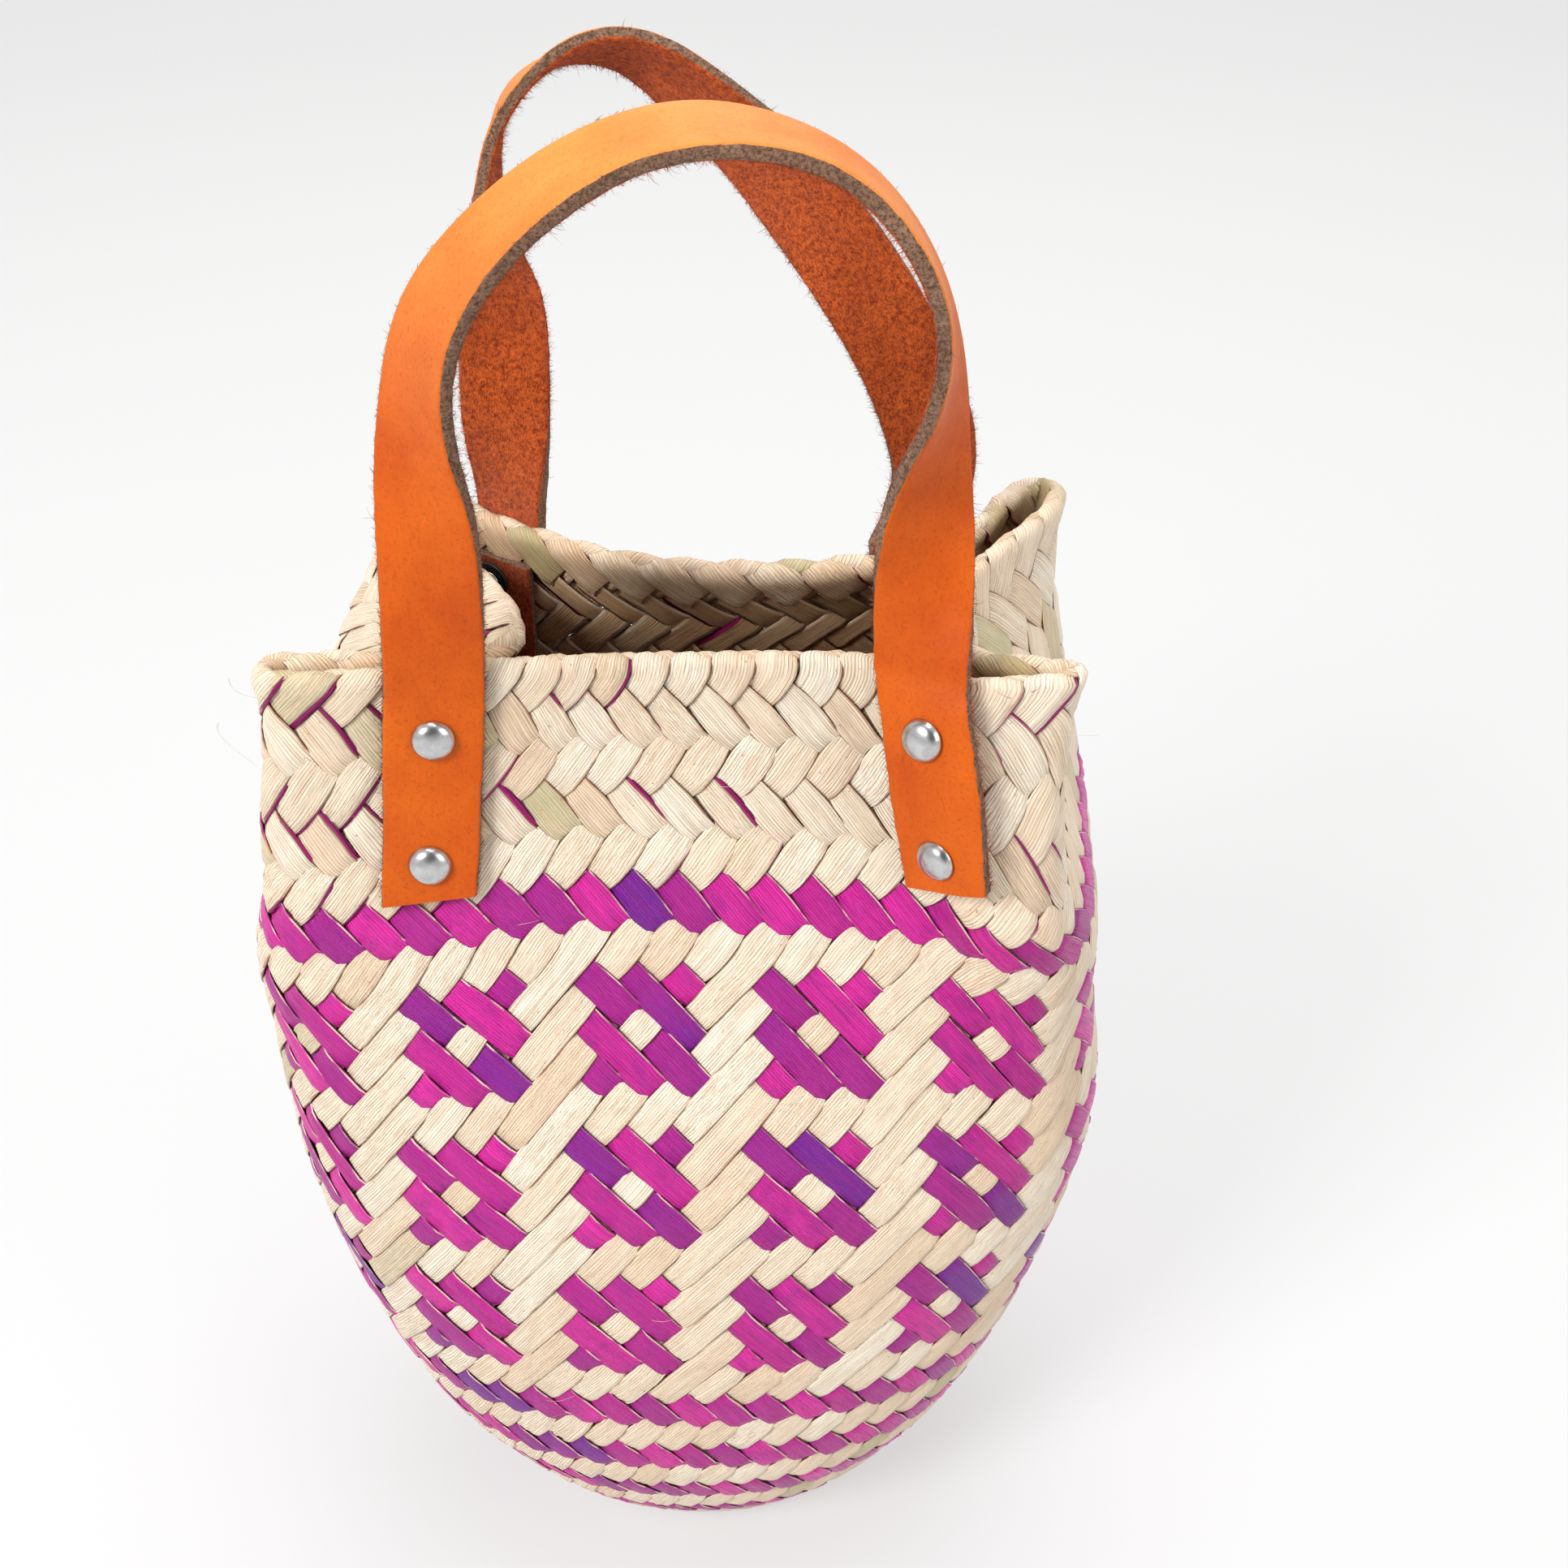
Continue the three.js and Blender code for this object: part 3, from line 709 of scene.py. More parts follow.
@dataclass
class BasketWall:
    """The basket's outer face as one curved sheet, worked out from level sections.

    Lengths are in millimetres. Levels are shares of the height, turns are shares of the way round.
    """

    height: float = 266.0
    width: float = 199.6
    depth: float = 142.0
    mouth_width: float = 174.0
    mouth_depth: float = 96.0
    press: float = 11.0
    press_drift: float = 0.042
    press_start: Span = (0.062, 0.09)
    press_end: Span = (0.1, 0.15)
    press_levels: Span = (0.68, 0.8)
    rows: int = 260
    columns: int = 1400
    mouth_steps: int = 20
    oval_steps: int = 720
    ring_steps: int = 1000
    search_steps: int = 400
    slope_reach: int = 3
    # level, width, depth, squareness, sideways shift, share of the folded mouth
    sections: Table = field(
        default_factory=lambda: [
            (0.0, 0.443, 0.589, 2.2, 0.009, 0.0),
            (0.03, 0.5, 0.676, 2.2, 0.01, 0.0),
            (0.09, 0.63, 0.809, 2.25, 0.0065, 0.0),
            (0.2, 0.797, 0.946, 2.35, 0.0035, 0.0),
            (0.35, 0.925, 1.0, 2.5, 0.005, 0.0),
            (0.5, 0.996, 0.953, 2.75, 0.0065, 0.0),
            (0.62, 1.0, 0.858, 3.1, -0.005, 0.04),
            (0.74, 1.066, 0.736, 3.6, -0.0135, 0.22),
            (0.86, 1.066, 0.647, 4.3, -0.027, 0.52),
            (1.0, 0.893, 0.602, 5.0, -0.036, 1.0),
        ]
    )
    # shares of half the mouth's width and depth, from the front middle round to the right
    mouth: Table = field(
        default_factory=lambda: [
            (0.0, -0.794),
            (0.45, -0.818),
            (0.544, -0.909),
            (0.649, -0.997),
            (0.836, -1.004),
            (0.92, -0.981),
            (0.946, -0.905),
            (0.899, -0.83),
            (0.774, -0.786),
            (0.674, -0.691),
            (0.648, -0.473),
            (0.742, 0.009),
            (0.983, 0.625),
            (1.03, 0.852),
            (0.988, 0.985),
            (0.904, 0.928),
            (0.721, 0.388),
            (0.491, 0.161),
            (0.188, 0.076),
            (-0.125, 0.189),
            (-0.421, 0.519),
            (-0.669, 0.918),
            (-0.753, 0.947),
            (-0.774, 0.805),
            (-0.575, 0.265),
            (-0.434, -0.152),
            (-0.382, -0.398),
            (-0.392, -0.606),
            (-0.481, -0.705),
            (-0.794, -0.708),
            (-0.92, -0.731),
            (-0.962, -0.814),
            (-0.936, -0.913),
            (-0.815, -0.936),
            (-0.442, -0.841),
            (-0.209, -0.803),
        ]
    )
    # where the four corners lie on the mouth and on the ovals below it
    corners: Table = field(
        default_factory=lambda: [
            (0.0, 0.0),
            (0.1525, 0.163),
            (0.335, 0.337),
            (0.62, 0.663),
            (0.8525, 0.837),
            (1.0, 1.0),
        ]
    )

    def __post_init__(self) -> None:
        """Works out the sheet's points and normals on a fine grid."""
        self.levels = np.linspace(0.0, 1.0, self.rows)
        half = np.array([self.mouth_width, self.mouth_depth]) / 2
        self.mouth_line = centripetal(np.array(self.mouth) * half, True, self.mouth_steps)
        rings = [self.section(level) for level in self.levels]
        turns = np.arange(self.columns) / self.columns
        self.points = np.stack([along(ring, turns, True) for ring in rings])
        self.lengths = np.array(
            [np.linalg.norm(np.diff(np.vstack([r, r[:1]]), axis=0), axis=1).sum() for r in rings]
        )
        reach = self.slope_reach
        across = np.roll(self.points, -reach, axis=1) - np.roll(self.points, reach, axis=1)
        self.normals = unit(np.cross(across, np.gradient(self.points, axis=0)))

    def section(self, level: float) -> Array:
        """One closed level ring of the outer face.

        Args:
            level: Height as a share of the basket's height.

        Returns:
            Points in millimetres, from the front middle round to the right.
        """
        keys, width, depth, square, shift, fold = np.array(self.sections).T
        a = through(keys, width, level) * self.width / 2
        b = through(keys, depth, level) * self.depth / 2
        power = 2.0 / through(keys, square, level)
        angle = -math.pi / 2 + 2 * math.pi * np.arange(self.oval_steps) / self.oval_steps
        c, s = np.cos(angle), np.sin(angle)
        x = a * np.sign(c) * np.abs(c) ** power
        y = b * np.sign(s) * np.abs(s) ** power
        share = np.arange(self.ring_steps) / self.ring_steps
        mouth_share, oval_share = np.array(self.corners).T
        plain = along(np.stack([x, y], 1), np.interp(share, mouth_share, oval_share), True)
        plain[:, 0] += through(keys, shift, level) * self.width
        folded = float(through(keys, fold, level))
        point = plain * (1 - folded) + along(self.mouth_line, share, True) * folded
        place = share - self.press_drift * (1 - folded)
        pressed = ease(*self.press_start, place) * (1 - ease(*self.press_end, place))
        point[:, 1] -= self.press * pressed * (1 - folded**2) * ease(*self.press_levels, level)
        return np.column_stack([point, np.full(len(point), level * self.height)])

    def look(self, turn: Array, level: Array) -> tuple[Array, Array]:
        """Points and outward normals.

        Args:
            turn: Shares of the way round, by length.
            level: Heights as shares of the basket's height.

        Returns:
            The points and the normals, in millimetres.
        """
        turn, level = np.broadcast_arrays(np.asarray(turn, float), np.asarray(level, float))
        u = (turn % 1.0) * self.columns
        v = np.clip(level, 0.0, 1.0) * (self.rows - 1)
        i = np.floor(u).astype(int)
        j = np.minimum(np.floor(v).astype(int), self.rows - 2)
        fu, fv = (u - i)[..., None], (v - j)[..., None]
        i0, i1 = i % self.columns, (i + 1) % self.columns
        found = []
        for grid in (self.points, self.normals):
            low = grid[j, i0] * (1 - fu) + grid[j, i1] * fu
            high = grid[j + 1, i0] * (1 - fu) + grid[j + 1, i1] * fu
            found.append(low * (1 - fv) + high * fv)
        return found[0], unit(found[1])

    def girth(self, level: Array) -> Array:
        """The length of the ring at each level, in millimetres."""
        return np.interp(level, self.levels, self.lengths)

    def turn_at(self, x: float, level: float, low: float, high: float) -> float:
        """The share of the way round where the wall has a given x.

        Args:
            x: The place to find, in millimetres.
            level: Height as a share of the basket's height.
            low: Where to start looking.
            high: Where to stop looking.

        Returns:
            The share of the way round.
        """
        turns = np.linspace(low, high, self.search_steps)
        points, _ = self.look(turns, level)
        return float(turns[np.argmin(np.abs(points[:, 0] - x))])


# once round a leaf strip's section: place across it, bulge, and face (1 is out, -1 is in)
STRIP_SECTION = np.array(
    [
        (-0.5, -0.75, 0.0),
        (-0.45, -0.1, 1.0),
        (-0.3, 0.45, 1.0),
        (-0.15, 0.85, 1.0),
        (0.0, 1.0, 1.0),
        (0.15, 0.85, 1.0),
        (0.3, 0.45, 1.0),
        (0.45, -0.1, 1.0),
        (0.5, -0.75, 0.0),
        (0.3, 0.2, -1.0),
        (0.0, 0.7, -1.0),
        (-0.3, 0.2, -1.0),
    ]
)
# once round a mat strip's section: place across it, and face (1 is up, -1 is down)
MAT_SECTION = np.array(
    [
        (-0.5, 0.0),
        (-0.25, 1.0),
        (0.0, 1.0),
        (0.25, 1.0),
        (0.5, 0.0),
        (0.25, -1.0),
        (0.0, -1.0),
        (-0.25, -1.0),
    ]
)
# loose fibres: share of the way round, weave row, length in millimetres, lean round the wall
PLAIN_FIBRES = [
    (-0.165, -6.0, 24.0, -0.8),
    (-0.16, -9.0, 12.0, -0.5),
    (-0.125, -9.6, 12.0, 0.7),
    (-0.06, 1.2, 9.0, 0.6),
    (0.05, 9.0, 8.0, -0.6),
    (0.16, -8.0, 14.0, 0.6),
    (0.38, -9.6, 16.0, 0.7),
    (-0.02, 19.5, 9.0, 0.7),
    (-0.055, 24.5, 10.0, -0.6),
    (0.02, -4.5, 10.0, 0.6),
    (0.07, -9.6, 8.0, 0.4),
]
DYED_FIBRES = [
    (0.155, -9.7, 13.0, 0.6),
    (0.15, -9.5, 8.0, -0.5),
    (-0.12, -9.6, 9.0, 0.6),
    (-0.035, 1.6, 6.0, -0.8),
]


@dataclass
class WovenBasket:
    """The basket as it is made: two families of leaf strips crossing on the bias.

    Lengths are in millimetres. Rows count down the wall, and the magenta strips start just above row 0.
    """

    wall: BasketWall
    strips: int = 56
    phase: float = -0.0675
    row_pitch: float = 5.35
    thick: float = 0.4
    swing: float = 0.62
    sink: float = 0.95
    crown: float = 0.16
    shingle: float = 0.44
    lens: float = 0.06
    wedge: float = 0.12
    shear: float = 0.07
    upright: float = 0.12
    rim_row: float = -9.95
    foot_row: float = 41.2
    rim_radius: float = 1.55
    rim_sink: float = 0.25
    foot_reach: float = 44.0
    rising_start: float = -12.6
    falling_start: float = -12.4
    dyed_start: float = -0.5
    strip_end: float = 43.4
    figured_from: int = 4
    figured_to: int = 24
    repeat: int = 4
    mat_pitch: float = 7.2
    mat_half: Span = (42.0, 38.5)
    mat_height: float = 2.3
    steps: int = 4
    seed: int = 11
    # weave row and level of the wall
    row_levels: Table = field(
        default_factory=lambda: [
            (-10.25, 1.0),
            (-7.5, 0.945),
            (-3.5, 0.867),
            (0.5, 0.786),
            (6.0, 0.6815),
            (13.0, 0.5405),
            (20.0, 0.393),
            (25.5, 0.281),
            (29.5, 0.206),
            (33.5, 0.1315),
            (37.0, 0.068),
            (41.2, 0.0),
        ]
    )
    # share of the way round, and how far the rows hang lower there
    row_dips: Table = field(
        default_factory=lambda: [
            (-0.5, 0.0),
            (-0.3, 0.02),
            (-0.2, 0.03),
            (-0.145, 0.028),
            (-0.12, 0.021),
            (-0.1, 0.0145),
            (-0.085, 0.0095),
            (-0.065, 0.001),
            (-0.04, -0.003),
            (-0.02, -0.004),
            (0.01, -0.002),
            (0.04, 0.001),
            (0.06, 0.003),
            (0.075, 0.005),
            (0.09, 0.006),
            (0.105, 0.009),
            (0.118, 0.0145),
            (0.13, 0.024),
            (0.145, 0.037),
            (0.165, 0.052),
            (0.2, 0.05),
            (0.3, 0.025),
            (0.4, 0.0),
            (0.5, 0.0),
        ]
    )
    # share of the way round, and how far the top rows are pushed round there
    row_pushes: Table = field(
        default_factory=lambda: [
            (-0.5, 0.0),
            (-0.4, 0.004),
            (-0.3, 0.01),
            (-0.2, 0.016),
            (-0.14, 0.0178),
            (-0.122, 0.017),
            (-0.085, 0.0152),
            (-0.067, 0.0115),
            (-0.05, 0.0075),
            (-0.0315, 0.002),
            (-0.0145, -0.0016),
            (0.004, -0.0062),
            (0.0225, -0.0093),
            (0.04, -0.0123),
            (0.058, -0.0147),
            (0.0755, -0.0175),
            (0.1115, -0.0233),
            (0.14, -0.0255),
            (0.2, -0.024),
            (0.3, -0.016),
            (0.4, -0.006),
            (0.5, 0.0),
        ]
    )
    # strips that show magenta in each row of the repeat, counted by fours
    motif: tuple[tuple[int, ...], ...] = ((0, 1, 2), (0, 1), (3, 1), (3, 0), (3, 0, 2), (), ())

    def falling_shows(self, strip: Array, row: Array) -> Array:
        """Whether the falling strip lies on top of a crossing.

        Args:
            strip: Number of the falling strip.
            row: Number of the weave row.

        Returns:
            True where the falling strip is on top.
        """
        strip, row = np.broadcast_arrays(strip, row)
        over = self.repeat // 2
        banded = row % self.repeat < over
        foot = (row - self.figured_to - 1) % self.repeat < over
        inside = (row >= self.figured_from) & (row <= self.figured_to)
        table = np.array([[n in shown for n in range(self.repeat)] for shown in self.motif])
        figured = table[(row - self.figured_from) % len(table), strip % self.repeat]
        return np.where(inside, figured, np.where(row > self.figured_to, foot, banded))

    def slide(self, turn: Array, row: Array) -> Array:
        """How far the weave is pushed round the wall.

        Strips lie steeper where they are on top, turn upright at the rim, and crowd in the middle
        of the front.

        Args:
            turn: Share of the way round.
            row: Place among the weave rows.

        Returns:
            A share of the way round to add.
        """
        middle = (self.figured_from + self.figured_to) / 2
        start = np.where(row > middle, self.figured_to + 1.5, 0.5)
        banded = (row < self.figured_from - 0.5) | (row > self.figured_to + 0.5)
        wave = np.where(banded, 1.0 + np.sin((row - start) * math.pi / 2), 0.0) * -self.shear
        upright = -self.upright * np.clip(-9.5 - row, 0.0, 1.2)
        places, pushes = np.array(self.row_pushes).T
        crowd = through(places, pushes, (turn + 0.5) % 1.0 - 0.5)
        return (wave + upright) / self.strips + crowd * (np.clip(-row, 0.0, 10.25) / 8.5) ** 1.9

    def sheet(self, turn: Array, row: Array, lift: Array) -> Array:
        """A point of the woven wall, over the rim and under the base too.

        Args:
            turn: Share of the way round.
            row: Place among the weave rows.
            lift: Distance out of the middle of the weave, in millimetres.

        Returns:
            Points in millimetres.
        """
        turn = turn + self.slide(turn, row)
        keys, levels = np.array(self.row_levels).T
        pitch = self.row_pitch
        top_level = 1.0 - (self.rim_radius + 0.1) / self.wall.height
        places, dips = np.array(self.row_dips).T
        hang = ease(self.rim_row, -2.0, row) * (1.0 - ease(14.0, 36.0, row))
        dip = through(places, dips, (turn + 0.5) % 1.0 - 0.5) * hang
        level = np.minimum(through(keys, levels, row) - dip, top_level)
        point, normal = self.wall.look(turn, level)
        past = np.maximum(self.rim_row - row, 0.0) * pitch
        angle = np.minimum(past / self.rim_radius, math.pi)
        down = np.maximum(past - math.pi * self.rim_radius, 0.0)
        radius = (self.rim_radius + lift - self.rim_sink)[..., None]
        up = np.array([0.0, 0.0, 1.0])
        level_in = np.clip(top_level - down / self.wall.height, 0.0, 1.0)
        inner, inner_normal = self.wall.look(turn, level_in)
        over = point - normal * self.rim_radius
        over = over + radius * (np.cos(angle)[..., None] * normal + np.sin(angle)[..., None] * up)
        depth = 2 * self.rim_radius + lift - self.rim_sink - 0.75 * ease(1.0, 7.0, down)
        behind = inner - inner_normal * depth[..., None]
        plain = point + normal * (lift - self.sink)[..., None]
        join = ease(-8.6, self.rim_row, row)[..., None]
        start = point + normal * (lift - self.rim_sink)[..., None]
        plain = plain * (1 - join) + start * join
        under = np.maximum(row - self.foot_row, 0.0) * pitch
        keep = np.clip(1.0 - under / self.foot_reach, 0.05, 1.0)[..., None]
        foot, _ = self.wall.look(turn, np.zeros_like(turn))
        base = foot * keep
        base[..., 2] = np.maximum(self.sink - lift, 0.22)
        edge = ease(self.foot_row - 1.6, self.foot_row + 0.4, row)[..., None]
        plain[..., 2] = np.maximum(plain[..., 2], 0.25)
        plain = plain * (1 - edge) + base * edge
        result = np.where((past > 0)[..., None], over, plain)
        return np.where((down > 0)[..., None], behind, result)

    def heights(self, family: Weaver, number: int, rows: Array) -> Array:
        """How high a strip rides above the middle of the weave.

        Args:
            family: Which family the strip is of.
            number: The strip's number.
            rows: Places along it.

        Returns:
            Heights in millimetres.
        """
        first = np.floor(rows).astype(int)
        states = []
        for row in (first, first + 1):
            strip = number if family is Weaver.FALLING else number - row
            shows = self.falling_shows(np.asarray(strip), row)
            shows = shows if family is Weaver.FALLING else ~shows
            states.append(np.where(shows, 1.0, -1.0))
        change = ease(0.18, 0.82, rows - first)
        bow = 0.12 * np.cos(2 * math.pi * (rows - first))
        level = states[0] * (1 - change) + states[1] * change
        return self.swing * level + np.where(states[0] == states[1], 0.0, bow) * 0.3

    def strip(
        self, parts: MeshParts, family: Weaver, number: int, first_row: float, last_row: float, dyed: bool
    ) -> None:
        """Adds one strip to a mesh.

        Args:
            parts: The mesh to add to.
            family: Which family the strip is of.
            number: The strip's number.
            first_row: Row where it starts.
            last_row: Row where it ends.
            dyed: Whether a dyed lining shows along one edge of it near the top.
        """
        chance = np.random.default_rng((self.seed, family.value + 1, number))
        count = int(round((last_row - first_row) * self.steps)) + 1
        rows = np.linspace(first_row, last_row, count)
        lean = 0.5 if family is Weaver.FALLING else -0.5
        middle = (number + lean * rows) / self.strips + self.phase
        keys, levels = np.array(self.row_levels).T
        girth = self.wall.girth(through(keys, levels, np.clip(rows, keys[0], self.foot_row)))
        past = np.maximum(rows - self.foot_row, 0) * self.row_pitch
        girth = girth * np.clip(1 - past / self.foot_reach, 0.1, 1.0)
        slope = np.arctan2(self.row_pitch, girth / self.strips / 2)
        rides = self.heights(family, number, rows)
        wobble = 0.03 * np.sin(rows * chance.uniform(0.5, 1.1) + chance.uniform(0, PHASES))
        window = np.hanning(2 * self.steps + 3)
        calm = np.convolve(np.pad(rides, self.steps + 1, mode="edge"), window / window.sum(), "valid")
        scale = 1.03 + 0.03 * chance.standard_normal() + wobble + self.lens * calm / self.swing
        full = girth / self.strips * np.sin(slope) * scale
        wander = 0.035 * np.sin(rows * chance.uniform(0.15, 0.4) + chance.uniform(0, PHASES))
        shares, bulge, side = STRIP_SECTION.T
        creased = chance.uniform(0.1, 0.24) if chance.uniform() < 0.3 else 0.03
        crease = np.zeros((count, len(shares)))
        for point in range(1, 8):
            run = np.sin(rows * chance.uniform(0.2, 0.9) + chance.uniform(0, PHASES))
            crease[:, point] = creased * run * (1 if point % 2 else -1)
        tilt = self.shingle + 0.08 * chance.standard_normal()
        base = chance.uniform(0.0, 1.0)
        drift = 0.14 * np.sin(rows * chance.uniform(0.05, 0.25) + chance.uniform(0, PHASES))
        ends = np.minimum(np.arange(count), np.arange(count)[::-1]).clip(0, 1)[:, None]
        fold = 1.0 - ease(0.4, 2.6, np.abs(rows - self.rim_row))
        across_shares = np.broadcast_to(shares, (count, len(shares))).copy()
        dye = self.dyed_share(chance, rows, middle) if dyed else np.zeros(count)
        lined = dye > 0.05
        across_shares[:, 6] = np.where(lined, 0.5 - dye - 0.006, shares[6])
        across_shares[:, 7] = np.where(lined, 0.5 - dye + 0.006, shares[7])
        across = (across_shares + wander[:, None]) * full[:, None]
        puff = (self.crown + self.wedge * fold)[:, None] * bulge
        step = np.zeros((count, len(shares)))
        step[:, 7] = np.where(lined, -0.16, 0.0)
        lift = rides[:, None] + puff + side * ends * self.thick / 2 + step
        lift = lift + (tilt + 0.5 * fold)[:, None] * across_shares + crease
        lift = lift + 0.05 * np.sin(rows * 2.3 + chance.uniform(0, 6))[:, None]
        turn = middle[:, None] + across * np.sin(slope)[:, None] / girth[:, None]
        shift = across * np.cos(slope)[:, None] / self.row_pitch
        place = rows[:, None] + (-shift if family is Weaver.FALLING else shift)
        points = self.sheet(turn, place, lift)
        quads = grid_quads(count, len(shares), True)
        length = np.concatenate([[0], np.cumsum(np.linalg.norm(np.diff(points[:, 4], axis=0), axis=1))])
        uv = np.stack(np.broadcast_arrays(length[:, None] + 91.0 * number, across + 40.0), axis=-1)
        tone = np.clip(base + drift, 0, 1)[:, None] + np.zeros(len(shares))
        flip = quads if family is Weaver.FALLING else quads[:, ::-1]
        dyes = np.repeat(dye[:, None], len(shares), axis=1)
        # Painted shade: the part folded over the rim into the bag takes 0.6 of the dull tint.
        inside = ease(self.rim_row, self.rim_row - 1.2, rows)[:, None] * 0.6
        back_and_shade = np.maximum(np.broadcast_to(side < 0, across.shape), inside)
        parts.add(
            points.reshape(-1, 3),
            flip,
            np.zeros(len(quads), int),
            uv.reshape(-1, 2),
            tone.ravel(),
            across_shares.ravel(),
            dyes.ravel(),
            back_and_shade.ravel(),
        )

    def dyed_share(self, chance: np.random.Generator, rows: Array, middle: Array) -> Array:
        """How much of a strip's width shows its dyed lining, strongest at the corners.

        Args:
            chance: The strip's own random numbers.
            rows: Places along the strip.
            middle: Share of the way round at each place.

        Returns:
            A share of the width at each place.
        """
        turn = (middle + 0.5) % 1.0 - 0.5
        near = np.exp(-(((turn + 0.15) / 0.045) ** 2)) + 0.7 * np.exp(-(((turn - 0.16) / 0.035) ** 2))
        near += 0.6 * np.exp(-(((np.abs(turn) - 0.36) / 0.04) ** 2))
        own = max(0.0, chance.normal(-0.005, 0.055))
        swell = 0.75 + 0.5 * np.sin(rows * chance.uniform(0.5, 1.3) + chance.uniform(0, PHASES))
        share = (own + near * chance.uniform(0.02, 0.15)) * swell
        return np.where(rows < 0.6, np.minimum(share, 0.22), 0.0)

    def family_piece(
        self,
        name: str,
        family: Weaver,
        rows: tuple[float, float],
        finish: Material,
        half: int = -1,
        dyed: bool = False,
    ) -> Piece:
        """The strips of one family between two rows, as one piece.

        Args:
            name: The piece's name.
            family: Which family.
            rows: Rows where they start and end.
            finish: Their material.
            half: 0 or 1 for one half of the strips, or -1 for all.
            dyed: Whether a dyed lining shows along some of their edges.

        Returns:
            The new object.
        """
        parts = MeshParts()
        middle = self.strips // 2
        numbers = {0: range(middle), 1: range(middle, self.strips)}.get(half, range(self.strips))
        for number in numbers:
            self.strip(parts, family, number, rows[0], rows[1], dyed)
        return parts.build(name, [finish])

    def base_mat(self, finish: Material) -> Piece:
        """The flat mat inside the foot, woven two over, two under.

        Args:
            finish: Its material.

        Returns:
            The new object.
        """
        parts = MeshParts()
        chance = np.random.default_rng(self.seed)
        pitch = self.mat_pitch
        half_x, half_y = self.mat_half
        shares, side = MAT_SECTION.T
        for family in range(2):
            angle = math.pi / 4 + family * math.pi / 2
            way = np.array([math.cos(angle), math.sin(angle)])
            aside = np.array([-way[1], way[0]])
            for number in range(-6, 7):
                offset = number * pitch
                ts = np.linspace(-60, 60, 401)
                line = offset * aside + ts[:, None] * way
                kept = ts[(line[:, 0] / half_x) ** 2 + (line[:, 1] / half_y) ** 2 < 1]
                if len(kept) < 20:
                    continue
                s = np.linspace(kept[0], kept[-1], max(6, int((kept[-1] - kept[0]) / 1.8)))
                cell = s / pitch + (number if family else -number) + 40
                wave = np.clip(1.6 * np.sin(2 * math.pi * (cell + (0 if family else 2)) / 4), -1, 1)
                across = shares * pitch * 0.95
                xy = offset * aside + s[:, None, None] * way + across[:, None] * aside
                z = self.mat_height + (wave * 0.32)[:, None] + side * 0.16
                points = np.concatenate([xy, z[..., None]], axis=-1)
                quads = grid_quads(len(s), len(shares), True)
                uv = np.stack(np.broadcast_arrays(s[:, None] + 77.0 * number, across + 9.0), -1)
                tone = np.full(points.shape[:2], chance.uniform(0.1, 0.8))
                slots = np.zeros(len(quads), int)
                # The whole mat takes the full dull tint.
                flat, back_and_shade = points.reshape(-1, 3), np.ones(tone.size)
                parts.add(flat, quads, slots, uv.reshape(-1, 2), tone.ravel(), back_and_shade=back_and_shade)
        return parts.build("base_mat", [finish])

    def loose_fibres(self, name: str, turns: Table, finish: Material) -> Piece:
        """Thin fibres that have split off the leaf and stand out of the wall.

        Args:
            name: The piece's name.
            turns: Share of the way round, weave row, length in millimetres and lean round the wall.
            finish: Their material.

        Returns:
            The new object.
        """
        parts = MeshParts()
        chance = np.random.default_rng(self.seed + len(name))
        for turn, row, long, lean in turns:
            start, beside, above = (
                self.sheet(np.array([turn + aside]), np.array([row - rise]), np.array([0.0]))[0]
                for aside, rise in ((0.0, 0.0), (0.004, 0.0), (0.0, 0.5))
            )
            side, up = unit(beside - start), unit(above - start)
            out = unit(np.cross(side, up))
            share = np.linspace(0, 1, 12)[:, None]
            curl = chance.uniform(-0.35, 0.35)
            line = start + long * (share * (side * lean + up * 0.35) + out * 0.3 * np.sin(share * 2.2))
            line = line + long * curl * share**2 * (up - side * np.sign(lean) * 0.4)
            ahead = unit(np.gradient(line, axis=0))
            across = unit(np.cross(ahead, out)) * 0.07 * (1.1 - share)
            lift = unit(np.cross(across, ahead)) * 0.05
            rings = np.stack([line + across, line + lift, line - across, line - lift], axis=1)
            quads = grid_quads(len(line), 4, True)
            flat = rings.reshape(-1, 3)
            round_it = np.tile([0.0, 0.1, 0.2, 0.3], len(line))
            uv = np.stack([np.repeat(share[:, 0] * long, 4), round_it], axis=1)
            parts.add(flat, quads, np.zeros(len(quads), int), uv, np.full(len(flat), 0.4))
        return parts.build(name, [finish])

    def build(self, natural: Material, magenta: Material) -> list[Piece]:
        """Weaves the whole basket.

        Args:
            natural: Material of the plain leaf.
            magenta: Material of the dyed leaf.

        Returns:
            The basket's pieces.
        """
        falling, rising = Weaver.FALLING, Weaver.RISING
        top_rows = (self.falling_start, self.dyed_start)
        rising_rows = (self.rising_start, self.strip_end)
        dyed_rows = (self.dyed_start, self.strip_end)
        pieces = []
        for half, side in enumerate(("first", "second")):
            name = f"{side}_rising_natural_strips"
            pieces.append(self.family_piece(name, rising, rising_rows, natural, half, True))
            name = f"{side}_falling_magenta_strips"
            pieces.append(self.family_piece(name, falling, dyed_rows, magenta, half))
        pieces.append(self.family_piece("falling_natural_strips", falling, top_rows, natural, dyed=True))
        pieces.append(self.base_mat(natural))
        pieces.append(self.loose_fibres("loose_plain_fibres", PLAIN_FIBRES, natural))
        pieces.append(self.loose_fibres("loose_dyed_fibres", DYED_FIBRES, magenta))
        for piece in pieces:
            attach(piece, "root")
        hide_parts("basket_body")
        return pieces


